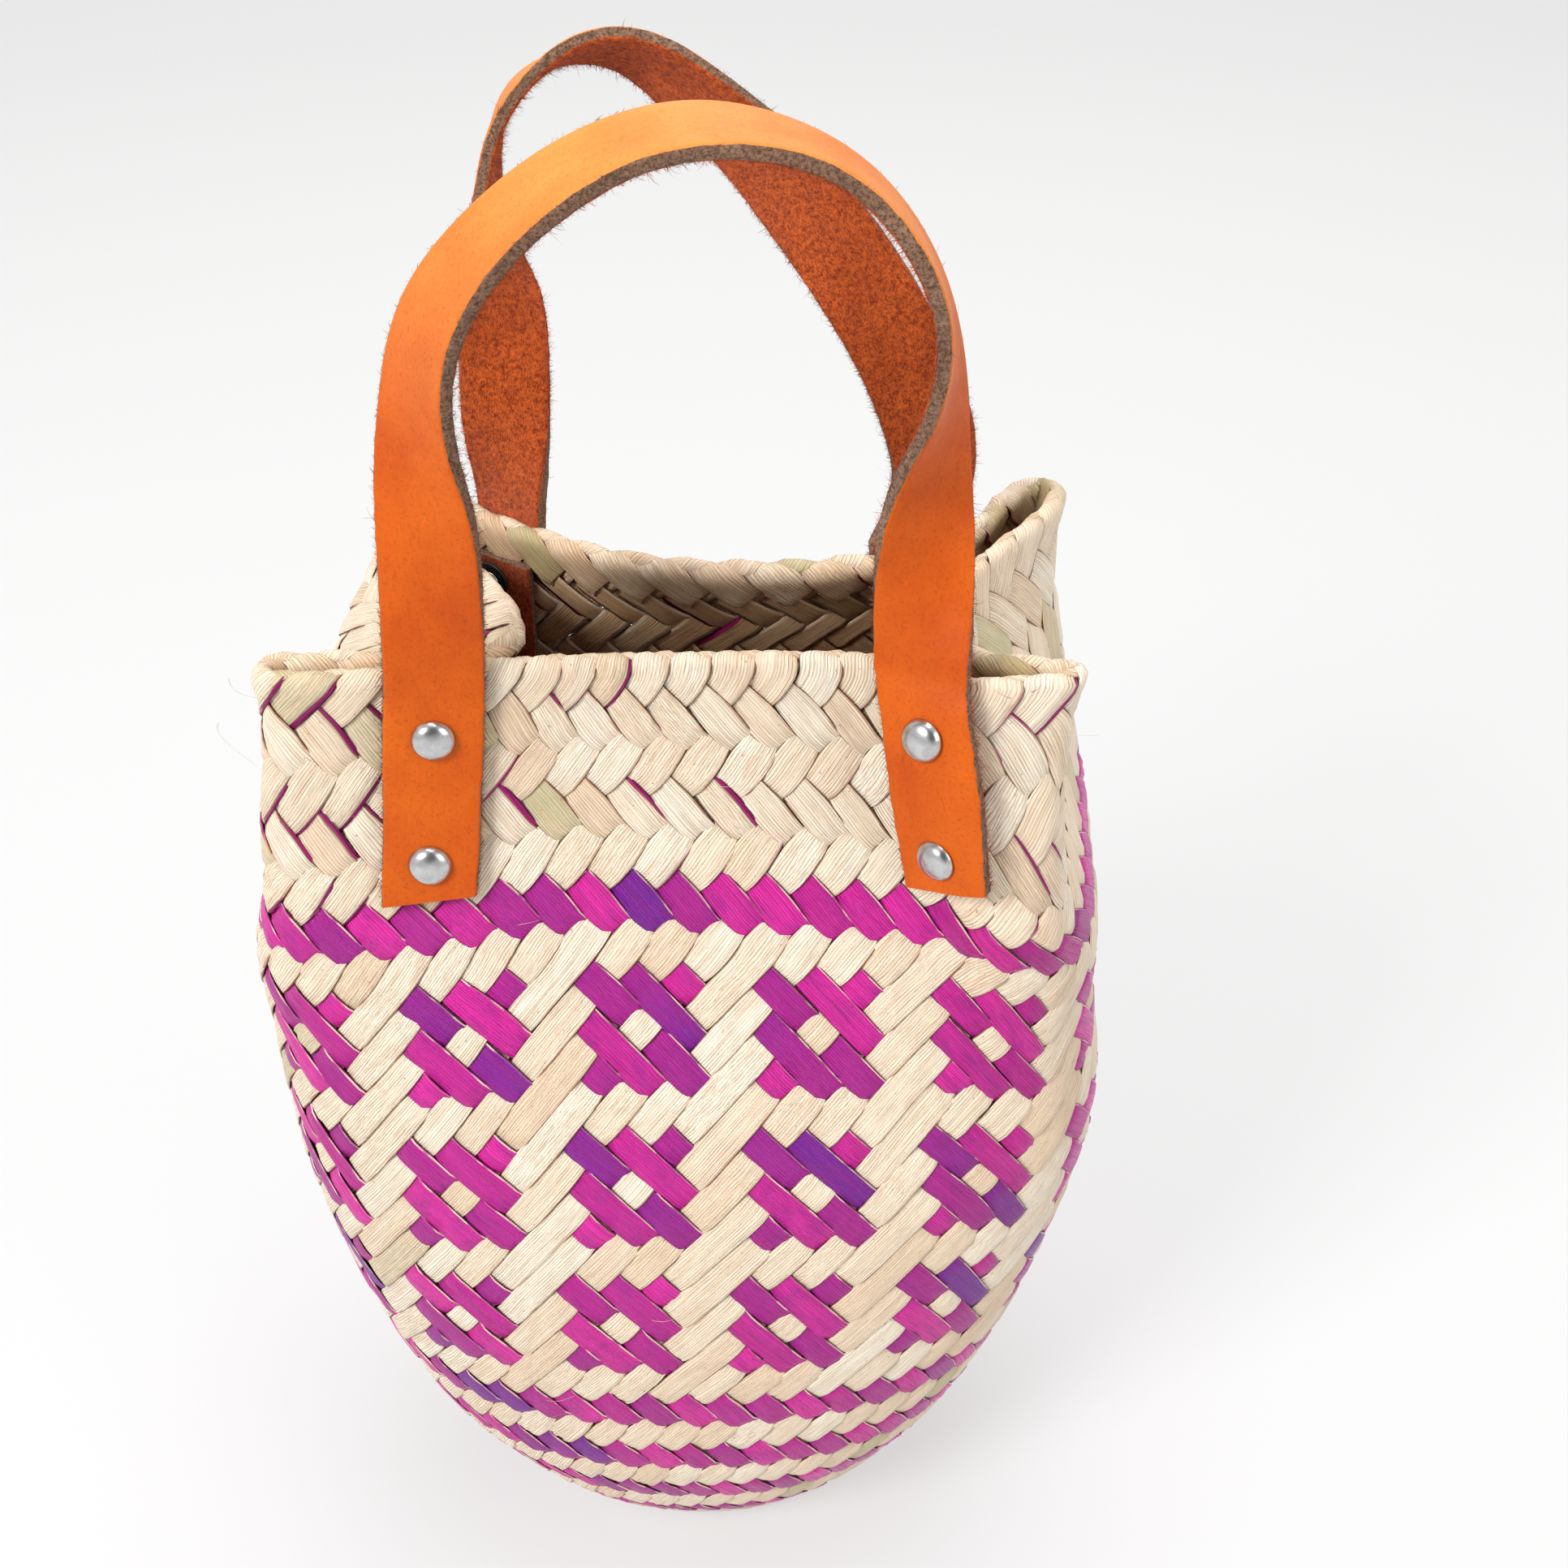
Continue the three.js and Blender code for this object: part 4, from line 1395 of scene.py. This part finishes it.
@dataclass
class TabPlace:
    """Where one end of a strap lies on the wall, and how it is cut and riveted.

    rim and end are x as shares of half the mouth's width. low and high are the turns to look between.
    """

    rim: float
    end: float
    low: float
    high: float
    length: float = 54.0
    drop: float = 14.5
    spacing: float = 29.5
    slant: float = 0.0
    tilt: float = 0.0
    patch_width: float = 20.0
    patch_height: float = 46.0


TABS = {
    "front_left": TabPlace(-0.547, -0.606, -0.16, 0.0, length=52.8, slant=2.2),
    "front_right": TabPlace(
        0.572,
        0.655,
        0.0,
        0.14,
        length=46.0,
        drop=11.7,
        spacing=26.2,
        slant=7.0,
        tilt=2.6,
        patch_width=18.0,
        patch_height=40.0,
    ),
    "rear_left": TabPlace(-0.462, -0.52, 0.5, 0.6, slant=-1.0),
    "rear_right": TabPlace(0.595, 0.65, 0.36, 0.5, slant=1.2),
}


@dataclass
class LeatherWork:
    """Sizes and shared methods of everything cut from leather."""

    wall: BasketWall
    strap_width: float = 20.0
    strap_thick: float = 3.2
    rise: float = 105.8
    ease_length: float = 22.0
    wall_gap: float = 0.35
    stiffness: float = 0.8
    wall_thick: float = 2.2
    patch_thick: float = 2.0
    patch_drop: float = 9.0
    patch_gap: float = 0.45
    side_step: float = 0.004

    def tab_turn(self, tab: TabPlace, level: float) -> float:
        """The share of the way round where a tab's middle lies.

        Args:
            tab: The tab.
            level: Height as a share of the basket's height.

        Returns:
            The share of the way round.
        """
        end_level = 1 - tab.length / self.wall.height
        share = min(1.0, max(0.0, (level - end_level) / (1 - end_level)))
        x = (tab.end + (tab.rim - tab.end) * share) * self.wall.mouth_width / 2
        return self.wall.turn_at(x, level, tab.low, tab.high)

    def outline(self, width: float, thick: float, corner: float = 0.7) -> tuple[Array, Array, Array]:
        """The rounded outline of a leather strip.

        Args:
            width: Its width.
            thick: Its thickness.
            corner: Radius of its long edges.

        Returns:
            Sideways and outward places, and the zone of each step to the next point.
        """
        half, high = width / 2, thick / 2
        arc = np.radians([90, 60, 30, 0])
        face = np.linspace(-half + corner, half - corner, 9)[1:-1]
        right = [(half - corner + corner * math.cos(a), high - corner + corner * math.sin(a)) for a in arc]
        places = [(x, high) for x in face] + right
        places += [(half, 0.0)] + [(x, -y) for x, y in right[::-1]]
        places += [(x, -high) for x in face[::-1]]
        places += [(-x, -y) for x, y in right] + [(-half, 0.0)] + [(-x, y) for x, y in right[::-1]]
        side, out = np.array(places).T
        count, near = len(places), len(face)
        zones = np.full(count, Zone.CUT.value)
        zones[: near + 2] = Zone.SMOOTH.value
        zones[-3:] = Zone.SMOOTH.value
        flesh = near + 4 + 1 + 1
        zones[flesh : flesh + near + 6] = Zone.SUEDE.value
        return side, out, zones

    def on_wall(self, tab: TabPlace, level: float, side: Array, lift: Array) -> Array:
        """Points of a strip that follows the wall.

        Args:
            tab: The tab it belongs to.
            level: Height as a share of the basket's height.
            side: Sideways places, in the wall's own direction round.
            lift: Distances out of the wall's outer face.

        Returns:
            Points in millimetres.
        """
        middle = self.tab_turn(tab, level)
        height = self.wall.height
        low = np.clip(1.0 - (level - 1.0 + tab.length / height) * height / tab.length, 0.0, 1.0) ** 2
        turn = middle + side / self.wall.girth(level)
        point, normal = self.wall.look(turn, level + low * tab.slant * side / self.strap_width / height)
        stand = tab.tilt * (side / self.strap_width + 0.5) * ease(1.02, 0.97, level)
        soft = point + normal * (lift + stand)[:, None]
        centre, out = self.wall.look(np.array(middle), np.array(level))
        beside, _ = self.wall.look(np.array(middle + self.side_step), np.array(level))
        flat = centre + unit(beside - centre) * side[:, None] + out * (lift + stand)[:, None]
        flat[:, 2] += low * tab.slant * side / self.strap_width
        stiff = soft + (flat - soft) * self.stiffness
        return np.where((lift > 0)[:, None], stiff, point + normal * lift[:, None])

    def close_end(self, parts: MeshParts, ring: Array, flip: bool) -> None:
        """Closes one cut end with a grid of quads.

        Args:
            parts: The mesh to add to.
            ring: The last ring.
            flip: Whether the quads face the other way.
        """
        count = len(ring)
        middle = ring.mean(axis=0)
        inner = middle + (ring - middle) * 0.5
        core = middle + (ring - middle) * 0.02
        points = np.concatenate([ring, inner, core])
        quads = grid_quads(3, count, True)
        quads = quads[:, ::-1] if not flip else quads
        uv = points[:, [0, 2]] + 50.0
        slots = np.full(len(quads), Zone.CUT.value)
        parts.add(points, quads, slots, uv, np.full(len(points), 0.4))


@dataclass
class Strap(LeatherWork):
    """One handle: two riveted tabs and a twisting arch between them."""

    name: str = "front_handle"
    left: str = "front_left"
    right: str = "front_right"
    outward: int = -1
    seed: int = 5
    tab_steps: int = 34
    spline_steps: int = 40
    arch_steps: int = 170
    smooth_reach: int = 9
    smooth_rows: Span = (30.0, 46.0)
    # number of fibres and their mean length
    edge_fibres: tuple[int, float] = (9000, 0.8)
    flesh_fibres: tuple[int, float] = (14000, 1.1)
    # x of half the mouth's width, y of half its depth, share of the rise, turn in degrees
    arch: Table = field(default_factory=list)

    def tab_levels(self, tab: TabPlace) -> Array:
        """Levels of the wall from a tab's end up to the rim."""
        return 1 - np.linspace(1, 0, self.tab_steps) * tab.length / self.wall.height

    def rings(self) -> tuple[Array, Array, Array]:
        """Every ring of the strap, from the left tab's end to the right one's.

        Returns:
            Points by ring, places along it, and the zone of each step round a ring.
        """
        side, out, zones = self.outline(self.strap_width, self.strap_thick)
        lift = out + self.wall_gap + self.strap_thick / 2
        same_way = -self.outward
        left, right = TABS[self.left], TABS[self.right]
        left_rings = [self.on_wall(left, v, same_way * side, lift) for v in self.tab_levels(left)]
        right_rings = [self.on_wall(right, v, -same_way * side, lift) for v in self.tab_levels(right)]
        table = np.array(self.arch)
        line = table[:, :3] * [self.wall.mouth_width / 2, self.wall.mouth_depth / 2, self.rise]
        line[:, 2] += self.wall.height
        line[0] = left_rings[-1].mean(axis=0)
        line[-1] = right_rings[-1].mean(axis=0)
        fine = centripetal(line, False, self.spline_steps)
        lengths = np.concatenate([[0], np.cumsum(np.linalg.norm(np.diff(fine, axis=0), axis=1))])
        keys = np.arange(len(fine)) / (len(fine) - 1)
        goal = np.linspace(0, lengths[-1], self.arch_steps + 1)[1:-1]
        key = np.interp(goal, lengths, keys)
        centre = np.stack([np.interp(goal, lengths, fine[:, k]) for k in range(3)], axis=1)
        tangent = unit(np.gradient(fine, axis=0))
        tangent = unit(np.stack([np.interp(goal, lengths, tangent[:, k]) for k in range(3)], axis=1))
        angle = np.radians(through(np.linspace(0, 1, len(table)), table[:, 3], key))
        back = np.array([0.0, 1.0, 0.0])
        upright = unit(back - (tangent @ back)[:, None] * tangent)
        sideways = np.cross(tangent, upright)
        inner = -np.cos(angle)[:, None] * sideways + self.outward * np.sin(angle)[:, None] * upright
        inner = unit(inner)
        face = np.cross(inner, tangent) * -self.outward
        free = centre[:, None] + side[None, :, None] * inner[:, None] + out[None, :, None] * face[:, None]
        from_left = (1 - ease(0, self.ease_length, goal))[:, None, None]
        from_right = (1 - ease(0, self.ease_length, lengths[-1] - goal))[:, None, None]
        near_left = left_rings[-1][None] + (centre - line[0])[:, None]
        near_right = right_rings[-1][None] + (centre - line[-1])[:, None]
        free = free * (1 - from_left) + near_left * from_left
        free = free * (1 - from_right) + near_right * from_right
        rings = np.concatenate([np.stack(left_rings), free, np.stack(right_rings[::-1])])
        reach = self.smooth_reach
        weights = np.hanning(2 * reach + 3)[1:-1]
        weights /= weights.sum()
        padded = np.pad(rings, ((reach, reach), (0, 0), (0, 0)), mode="edge")
        soft = sum(w * padded[i : i + len(rings)] for i, w in enumerate(weights))
        row = np.arange(len(rings), dtype=float)
        free_share = ease(*self.smooth_rows, row) * ease(*self.smooth_rows, len(rings) - 1 - row)
        rings = rings + (soft - rings) * free_share[:, None, None]
        middle = rings.mean(axis=1)
        places = np.concatenate([[0], np.cumsum(np.linalg.norm(np.diff(middle, axis=0), axis=1))])
        return rings, places, zones

    def build(self, materials: list[Material]) -> Piece:
        """Makes the strap with its three finishes.

        Args:
            materials: Smooth, cut and suede material, in that order.

        Returns:
            The new object.
        """
        rings, places, zones = self.rings()
        chance = np.random.default_rng(self.seed)
        side, _, _ = self.outline(self.strap_width, self.strap_thick)
        middle = rings.mean(axis=1, keepdims=True)
        wave = np.zeros(len(places))
        for turn in range(6):
            wave += chance.uniform(-0.07, 0.07) * np.sin(places * chance.uniform(0.03, 0.2) + turn)
        rings = middle + (rings - middle) * (1 + 0.12 * wave[:, None, None])
        rough = (zones != Zone.SMOOTH.value) | (np.roll(zones, 1) != Zone.SMOOTH.value)
        rings = rings + rough[None, :, None] * chance.normal(0, 0.06, rings.shape)
        parts = MeshParts()
        quads = grid_quads(len(rings), rings.shape[1], True)
        slots = np.tile(zones, len(rings) - 1)
        uv = np.stack(np.broadcast_arrays(places[:, None], side + 30.0), axis=-1)
        # Tone rises towards the arch top: the painted highlight and the stretched leather there.
        middle_z = rings.mean(axis=1)[:, 2] - self.wall.height
        tone = np.repeat(ease(0.4 * self.rise, 0.98 * self.rise, middle_z)[:, None], rings.shape[1], axis=1)
        parts.add(rings.reshape(-1, 3), quads, slots, uv.reshape(-1, 2), tone.ravel())
        for ring, flip in ((rings[0], True), (rings[-1], False)):
            self.close_end(parts, ring, flip)
        piece = parts.build(self.name + "_leather", materials)
        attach(piece, "root")
        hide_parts(self.name)
        return piece

    def fuzz(self, finish: Material, flesh: Material) -> list[Piece]:
        """Short fibres that stand out of the cut edges and the flesh side.

        Args:
            finish: Material of the fibres on the cut edges.
            flesh: Material of those on the flesh side.

        Returns:
            One piece for each.
        """
        rings, _, zones = self.rings()
        chance = np.random.default_rng(self.seed + 100)
        made = []
        sorts = (("edge", Zone.CUT, *self.edge_fibres), ("flesh", Zone.SUEDE, *self.flesh_fibres))
        for label, zone, count, long in sorts:
            columns = np.flatnonzero(zones == zone.value)
            row = chance.integers(0, len(rings) - 1, count)
            column = chance.choice(columns, count)
            nearby = (column + 1) % rings.shape[1]
            a, b = chance.uniform(0, 1, (2, count, 1))
            root = rings[row, column] * (1 - a) + rings[row, nearby] * a
            later = rings[row + 1, column] * (1 - a) + rings[row + 1, nearby] * a
            root = root * (1 - b) + later * b
            out = unit(np.cross(later - rings[row, column], rings[row, nearby] - rings[row, column]))
            out *= np.sign(np.sum(out * (root - rings[row].mean(axis=1)), axis=1))[:, None]
            ahead = unit(later - root + 1e-6) * chance.choice([-1, 1], (count, 1))
            swept = ahead * chance.uniform(0, 1.4, (count, 1))
            lean = unit(out * 0.5 + swept + chance.normal(0, 0.35, (count, 3)))
            length = chance.gamma(3.0, long / 3.0, (count, 1))
            wide = unit(np.cross(lean, out + 0.3)) * chance.uniform(0.03, 0.07, (count, 1))
            tip = root + lean * length
            bend = root + lean * length * 0.55 + out * 0.15 * length
            points = np.stack([root - wide, root + wide, bend + wide * 0.6, bend - wide * 0.6, tip, tip], 1)
            quads = np.array([[0, 1, 2, 3], [3, 2, 4, 5]])
            quads = (np.arange(count)[:, None, None] * 6 + quads).reshape(-1, 4)
            parts = MeshParts()
            flat = points.reshape(-1, 3)
            flat[5::6] += 0.01
            uv = flat[:, :2] * 0.3
            parts.add(flat, quads, np.zeros(len(quads), int), uv, np.full(len(flat), 0.6))
            piece = parts.build(f"{self.name}_{label}_fibres", [finish if zone is Zone.CUT else flesh])
            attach(piece, "root")
            made.append(piece)
        return made


@dataclass
class Patch(LeatherWork):
    """A leather backing patch on the inside of the wall."""

    tab: str = "front_left"

    def build(self, materials: list[Material]) -> Piece:
        """Makes the patch.

        Args:
            materials: Smooth, cut and suede material, in that order.

        Returns:
            The new object.
        """
        tab = TABS[self.tab]
        side, out, zones = self.outline(tab.patch_width, self.patch_thick, 0.5)
        zones = np.where(zones == Zone.SMOOTH.value, Zone.SUEDE.value, zones)
        lift = out - self.wall_thick - self.patch_gap - self.patch_thick / 2
        levels = 1 - (self.patch_drop + tab.patch_height * np.linspace(0, 1, 30)) / self.wall.height
        chance = np.random.default_rng(sum(map(ord, self.tab)))
        rings = np.stack([self.on_wall(tab, v, side, lift) for v in levels])
        rings = rings + chance.normal(0, 0.07, rings.shape)
        parts = MeshParts()
        quads = grid_quads(len(rings), rings.shape[1], True)[:, ::-1]
        places = np.linspace(0, tab.patch_height, len(rings))
        uv = np.stack(np.broadcast_arrays(places[:, None], side + 30.0), axis=-1)
        tone = np.full(rings.shape[:2], 0.5)
        slots = np.tile(zones, len(rings) - 1)
        parts.add(rings.reshape(-1, 3), quads, slots, uv.reshape(-1, 2), tone.ravel())
        self.close_end(parts, rings[0], False)
        self.close_end(parts, rings[-1], True)
        piece = parts.build(self.tab + "_backing", materials)
        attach(piece, "root")
        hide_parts(self.tab + "_patch")
        return piece


@dataclass
class Riveting(LeatherWork):
    """Nickel caps outside and black washers inside, on one shank each."""

    cap_diameter: float = 9.1
    cap_height: float = 2.7
    shank: float = 3.0
    washer_diameter: float = 9.0
    washer_thick: float = 0.8
    around: int = 56
    profile_steps: int = 4
    cap_wobble: float = 0.012
    washer_wobble: float = 0.015
    cap_side_step: float = 0.002

    def turned(self, name: str, profile: Table, place: Matrix, finish: Material, wobble: float) -> Piece:
        """A turned piece on its own axis.

        Args:
            name: The piece's name.
            profile: Pairs of radius and height.
            place: Where it stands.
            finish: Its material.
            wobble: How far its surface strays, in millimetres.

        Returns:
            The new object.
        """
        fine = centripetal(np.array(profile), False, self.profile_steps)
        fine[:, 0] = np.maximum(fine[:, 0], 0.01)
        angle = 2 * math.pi * np.arange(self.around) / self.around
        chance = np.random.default_rng(len(name) * 7 + sum(map(ord, name)))
        ripple = np.zeros((len(fine), self.around))
        outer = fine[:, :1] / fine[:, 0].max()
        for wave in range(2, 7):
            phase = chance.uniform(0, PHASES)
            ripple += wobble * chance.normal() * np.cos(wave * angle + phase) * outer
        radius = fine[:, :1] + ripple * 0.5
        points = np.stack(
            np.broadcast_arrays(radius * np.cos(angle), radius * np.sin(angle), fine[:, 1:] + ripple), axis=-1
        )
        flat = points.reshape(-1, 3)
        turn = np.array(place.to_3x3())
        flat = flat @ turn.T + np.array(place.translation)
        parts = MeshParts()
        quads = grid_quads(len(fine), self.around, True)
        uv = np.stack(np.broadcast_arrays(angle * 5, fine[:, 1:]), axis=-1).reshape(-1, 2)
        parts.add(flat, quads, np.zeros(len(quads), int), uv, np.full(len(flat), 0.5))
        piece = parts.build(name, [finish])
        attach(piece, "root")
        return piece

    def build(self, nickel: Material, black: Material) -> list[Piece]:
        """Makes every rivet and washer.

        Args:
            nickel: Material of the rivets.
            black: Material of the washers.

        Returns:
            The new objects.
        """
        made = []
        for name, tab in TABS.items():
            for row, drop in (("upper", tab.drop), ("lower", tab.drop + tab.spacing)):
                level = 1 - drop / self.wall.height
                turn = self.tab_turn(tab, level)
                point, normal = self.wall.look(np.array(turn), np.array(level))
                beside, _ = self.wall.look(np.array(turn + self.cap_side_step), np.array(level))
                raised = point + normal * tab.tilt / 2
                facing = normal - unit(beside - point) * tab.tilt / self.strap_width
                inward = Vector(normal).to_track_quat("Z", "Y").to_matrix().to_4x4()
                outward = Vector(facing).to_track_quat("Z", "Y").to_matrix().to_4x4()
                under = Matrix.Translation(Vector(point)) @ inward
                place = Matrix.Translation(Vector(raised)) @ outward
                profile = self.rivet_profile()
                piece = self.turned(f"{name}_{row}_cap", profile, place, nickel, self.cap_wobble)
                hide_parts(f"{name}_{row}_rivet")
                profile = self.washer_profile()
                ring = self.turned(f"{name}_{row}_ring", profile, under, black, self.washer_wobble)
                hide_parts(f"{name}_{row}_washer")
                made += [piece, ring]
        return made

    def rivet_profile(self) -> Table:
        """The outline of a rivet, from its inner end to the top of its cap.

        Returns:
            Pairs of radius and height.
        """
        seat = self.wall_gap + self.strap_thick - 0.1
        inside = -(self.wall_thick + self.patch_gap + self.patch_thick + self.washer_thick + 0.4)
        radius, shank = self.cap_diameter / 2, self.shank / 2
        tail = shank + 1.3
        return [
            (0.01, inside - 0.7),
            (tail * 0.6, inside - 0.75),
            (tail - 0.1, inside - 0.5),
            (tail, inside - 0.2),
            (tail - 0.3, inside),
            (shank, inside + 0.05),
            (shank, seat - 0.1),
            (radius * 0.9, seat),
            (radius, seat + 0.12),
            (radius, seat + 0.4),
            (radius * 0.96, seat + 0.85),
            (radius * 0.85, seat + 1.55),
            (radius * 0.66, seat + 2.15),
            (radius * 0.4, seat + 2.55),
            (radius * 0.15, seat + self.cap_height),
            (0.01, seat + self.cap_height + 0.02),
        ]

    def washer_profile(self) -> Table:
        """The outline of a washer, once round its section.

        Returns:
            Pairs of radius and height.
        """
        top = -(self.wall_thick + self.patch_gap + self.patch_thick + 0.2)
        hole, radius = self.shank / 2 + 0.35, self.washer_diameter / 2
        low = top - self.washer_thick
        return [
            (hole, top - 0.1),
            (hole, low + 0.1),
            (hole + 0.2, low),
            (radius - 0.3, low),
            (radius, low + 0.25),
            (radius, top - 0.15),
            (radius - 0.2, top),
            (hole + 0.2, top),
            (hole, top - 0.1),
        ]


@dataclass
class Studio:
    """Floor, light and the camera.

    Places are in metres, turns in degrees, and the lens and sensor in millimetres.
    """

    camera_place: Place = (0.01343, -0.37776, 0.45913)
    pitch: float = 33.381
    yaw: float = 1.441
    roll: float = 0.222
    lens: float = 44.689
    sensor: float = 36.0
    bend_start: float = 1.6
    bend_radius: float = 1.2
    bend_steps: int = 24
    floor_grey: float = 0.3
    floor_glow: float = 0.515
    sky_strength: float = 0.74
    sky_gap: Place = (0.05, -0.83, 0.55)
    sky_gap_grey: float = 0.22
    aim: Place = (0.0, 0.0, 0.15)

    def floor(self) -> None:
        """A wide pale floor that rises to a backdrop behind."""
        bend = np.linspace(0.05, 1.57, self.bend_steps)
        flat_part = np.linspace(-3, self.bend_start, self.bend_steps)
        ys = np.concatenate([flat_part, self.bend_start + self.bend_radius * np.sin(bend)])
        risen = self.bend_radius - self.bend_radius * np.cos(bend)
        zs = np.concatenate([np.zeros(self.bend_steps), risen])
        ys, zs = np.append(ys, ys[-1]), np.append(zs, 4.0)
        xs = np.linspace(-4, 4, 9)
        grid = np.stack(np.broadcast_arrays(xs[None, :], ys[:, None], zs[:, None]), axis=-1)
        parts = MeshParts()
        quads = grid_quads(len(ys), len(xs), False)
        flat = grid.reshape(-1, 3) / MM
        parts.add(flat, quads, np.zeros(len(quads), int), flat[:, :2], np.zeros(len(flat)))
        pen = Nodes("pale_floor")
        pen.shader.inputs["Base Color"].default_value = (*[self.floor_grey] * 3, 1.0)
        pen.shader.inputs["Roughness"].default_value = 0.8
        pen.shader.inputs["Specular IOR Level"].default_value = 0.1
        pen.shader.inputs["Emission Color"].default_value = (*WHITE, 1.0)
        pen.shader.inputs["Emission Strength"].default_value = self.floor_glow
        parts.build("pale_floor", [pen.material])

    def light(self) -> None:
        """Soft light from all round, stronger from above and the left."""
        scene = bpy.context.scene
        scene.view_settings.view_transform = "Standard"
        world = bpy.data.worlds.new("studio")
        scene.world = world
        world.use_nodes = True
        tree = world.node_tree
        place = tree.nodes.new("ShaderNodeTexCoord")
        towards = tree.nodes.new("ShaderNodeVectorMath")
        towards.operation = "DOT_PRODUCT"
        towards.inputs[1].default_value = self.sky_gap
        shade = tree.nodes.new("ShaderNodeValToRGB")
        shade.color_ramp.elements[0].position = 0.8
        shade.color_ramp.elements[0].color = (*WHITE, 1.0)
        shade.color_ramp.elements[1].position = 0.95
        shade.color_ramp.elements[1].color = (*[self.sky_gap_grey] * 3, 1.0)
        tree.links.new(place.outputs["Generated"], towards.inputs[0])
        tree.links.new(towards.outputs["Value"], shade.inputs["Fac"])
        tree.links.new(shade.outputs["Color"], tree.nodes["Background"].inputs["Color"])
        tree.nodes["Background"].inputs["Strength"].default_value = self.sky_strength
        # name, place, power, size, colour
        lamps = (
            ("key", (-1.0, -1.1, 1.3), 27.0, 0.6, WHITE),
            ("fill", (1.3, -0.9, 1.0), 6.0, 1.0, WHITE),
            ("top", (0.1, 0.2, 1.9), 13.0, 1.0, WHITE),
            ("back", (0.1, 1.25, 1.35), 5.0, 1.1, (1.0, 0.97, 0.9)),
        )
        for name, place, power, size, colour in lamps:
            lamp = bpy.data.lights.new(name, "AREA")
            lamp.energy = power
            lamp.size = size
            lamp.color = colour
            holder = bpy.data.objects.new(name, lamp)
            holder.location = place
            towards_bag = Vector(self.aim) - Vector(place)
            holder.rotation_euler = towards_bag.to_track_quat("-Z", "Y").to_euler()
            scene.collection.objects.link(holder)

    def camera(self) -> None:
        """The camera at the picture's own viewpoint."""
        data = bpy.data.cameras.new("camera")
        data.lens = self.lens
        data.sensor_width = self.sensor
        data.sensor_fit = "HORIZONTAL"
        data.clip_start = 0.01
        holder = bpy.data.objects.new("camera", data)
        bpy.context.scene.collection.objects.link(holder)
        yaw, pitch, roll = (math.radians(a) for a in (self.yaw, self.pitch, self.roll))
        right = Vector((math.cos(yaw), -math.sin(yaw), 0.0))
        level = Vector((math.sin(yaw), math.cos(yaw), 0.0))
        ahead = level * math.cos(pitch) - Vector((0, 0, math.sin(pitch)))
        down = ahead.cross(right)
        image_right = right * math.cos(roll) - down * math.sin(roll)
        image_down = right * math.sin(roll) + down * math.cos(roll)
        turn = Matrix((image_right, -image_down, -ahead)).transposed().to_4x4()
        holder.matrix_world = Matrix.Translation(Vector(self.camera_place)) @ turn
        bpy.context.scene.camera = holder


# points of each arch, in the columns that Strap.arch names
FRONT_ARCH = [
    (-0.555, -0.925, 0.0, 0.0),
    (-0.525, -0.908, 0.271, 11.0),
    (-0.524, -0.929, 0.484, 44.0),
    (-0.467, -0.979, 0.693, 59.0),
    (-0.246, -0.96, 0.892, 73.0),
    (0.046, -0.973, 1.0, 82.0),
    (0.36, -0.977, 0.948, 92.0),
    (0.541, -0.998, 0.776, 90.0),
    (0.588, -0.935, 0.583, 75.0),
    (0.563, -0.87, 0.366, 37.0),
    (0.57, -0.975, 0.0, -28.0),
]
REAR_ARCH = [
    (-0.44, 0.583, 0.0, -24.0),
    (-0.445, 0.667, 0.228, 1.0),
    (-0.44, 0.773, 0.424, 27.0),
    (-0.469, 0.985, 0.598, 84.0),
    (-0.413, 1.108, 0.815, 93.0),
    (-0.154, 1.119, 0.916, 58.0),
    (0.14, 1.021, 0.767, 34.0),
    (0.38, 0.798, 0.574, 4.0),
    (0.58, 0.583, 0.328, -6.0),
    (0.66, 0.5, 0.104, -12.0),
    (0.6, 0.33, 0.0, -22.0),
]


def main() -> None:
    """Builds the bag in order and reports each piece."""
    logging.basicConfig(level=logging.INFO, format="%(message)s")
    wall = BasketWall()
    natural, magenta = NATURAL_LEAF.make(), MAGENTA_LEAF.make()
    smooth, cut, suede = SmoothLeather().make(), CUT_EDGE.make(), SUEDE.make()
    nickel, black = NickelFinish().make(), BlackFinish().make()
    made = WovenBasket(wall).build(natural, magenta)
    front = Strap(wall, arch=FRONT_ARCH)
    rear = Strap(
        wall,
        name="rear_handle",
        left="rear_left",
        right="rear_right",
        outward=1,
        seed=8,
        arch=REAR_ARCH,
    )
    for strap in (front, rear):
        made.append(strap.build([smooth, cut, suede]))
        made += strap.fuzz(cut, suede)
    for tab in TABS:
        made.append(Patch(wall, tab=tab).build([smooth, cut, suede]))
    made += Riveting(wall).build(nickel, black)
    for piece in made:
        log.info("%s: %d faces", piece.name, len(piece.data.polygons))
    studio = Studio()
    studio.floor()
    studio.light()
    studio.camera()


if __name__ == "__main__":
    main()
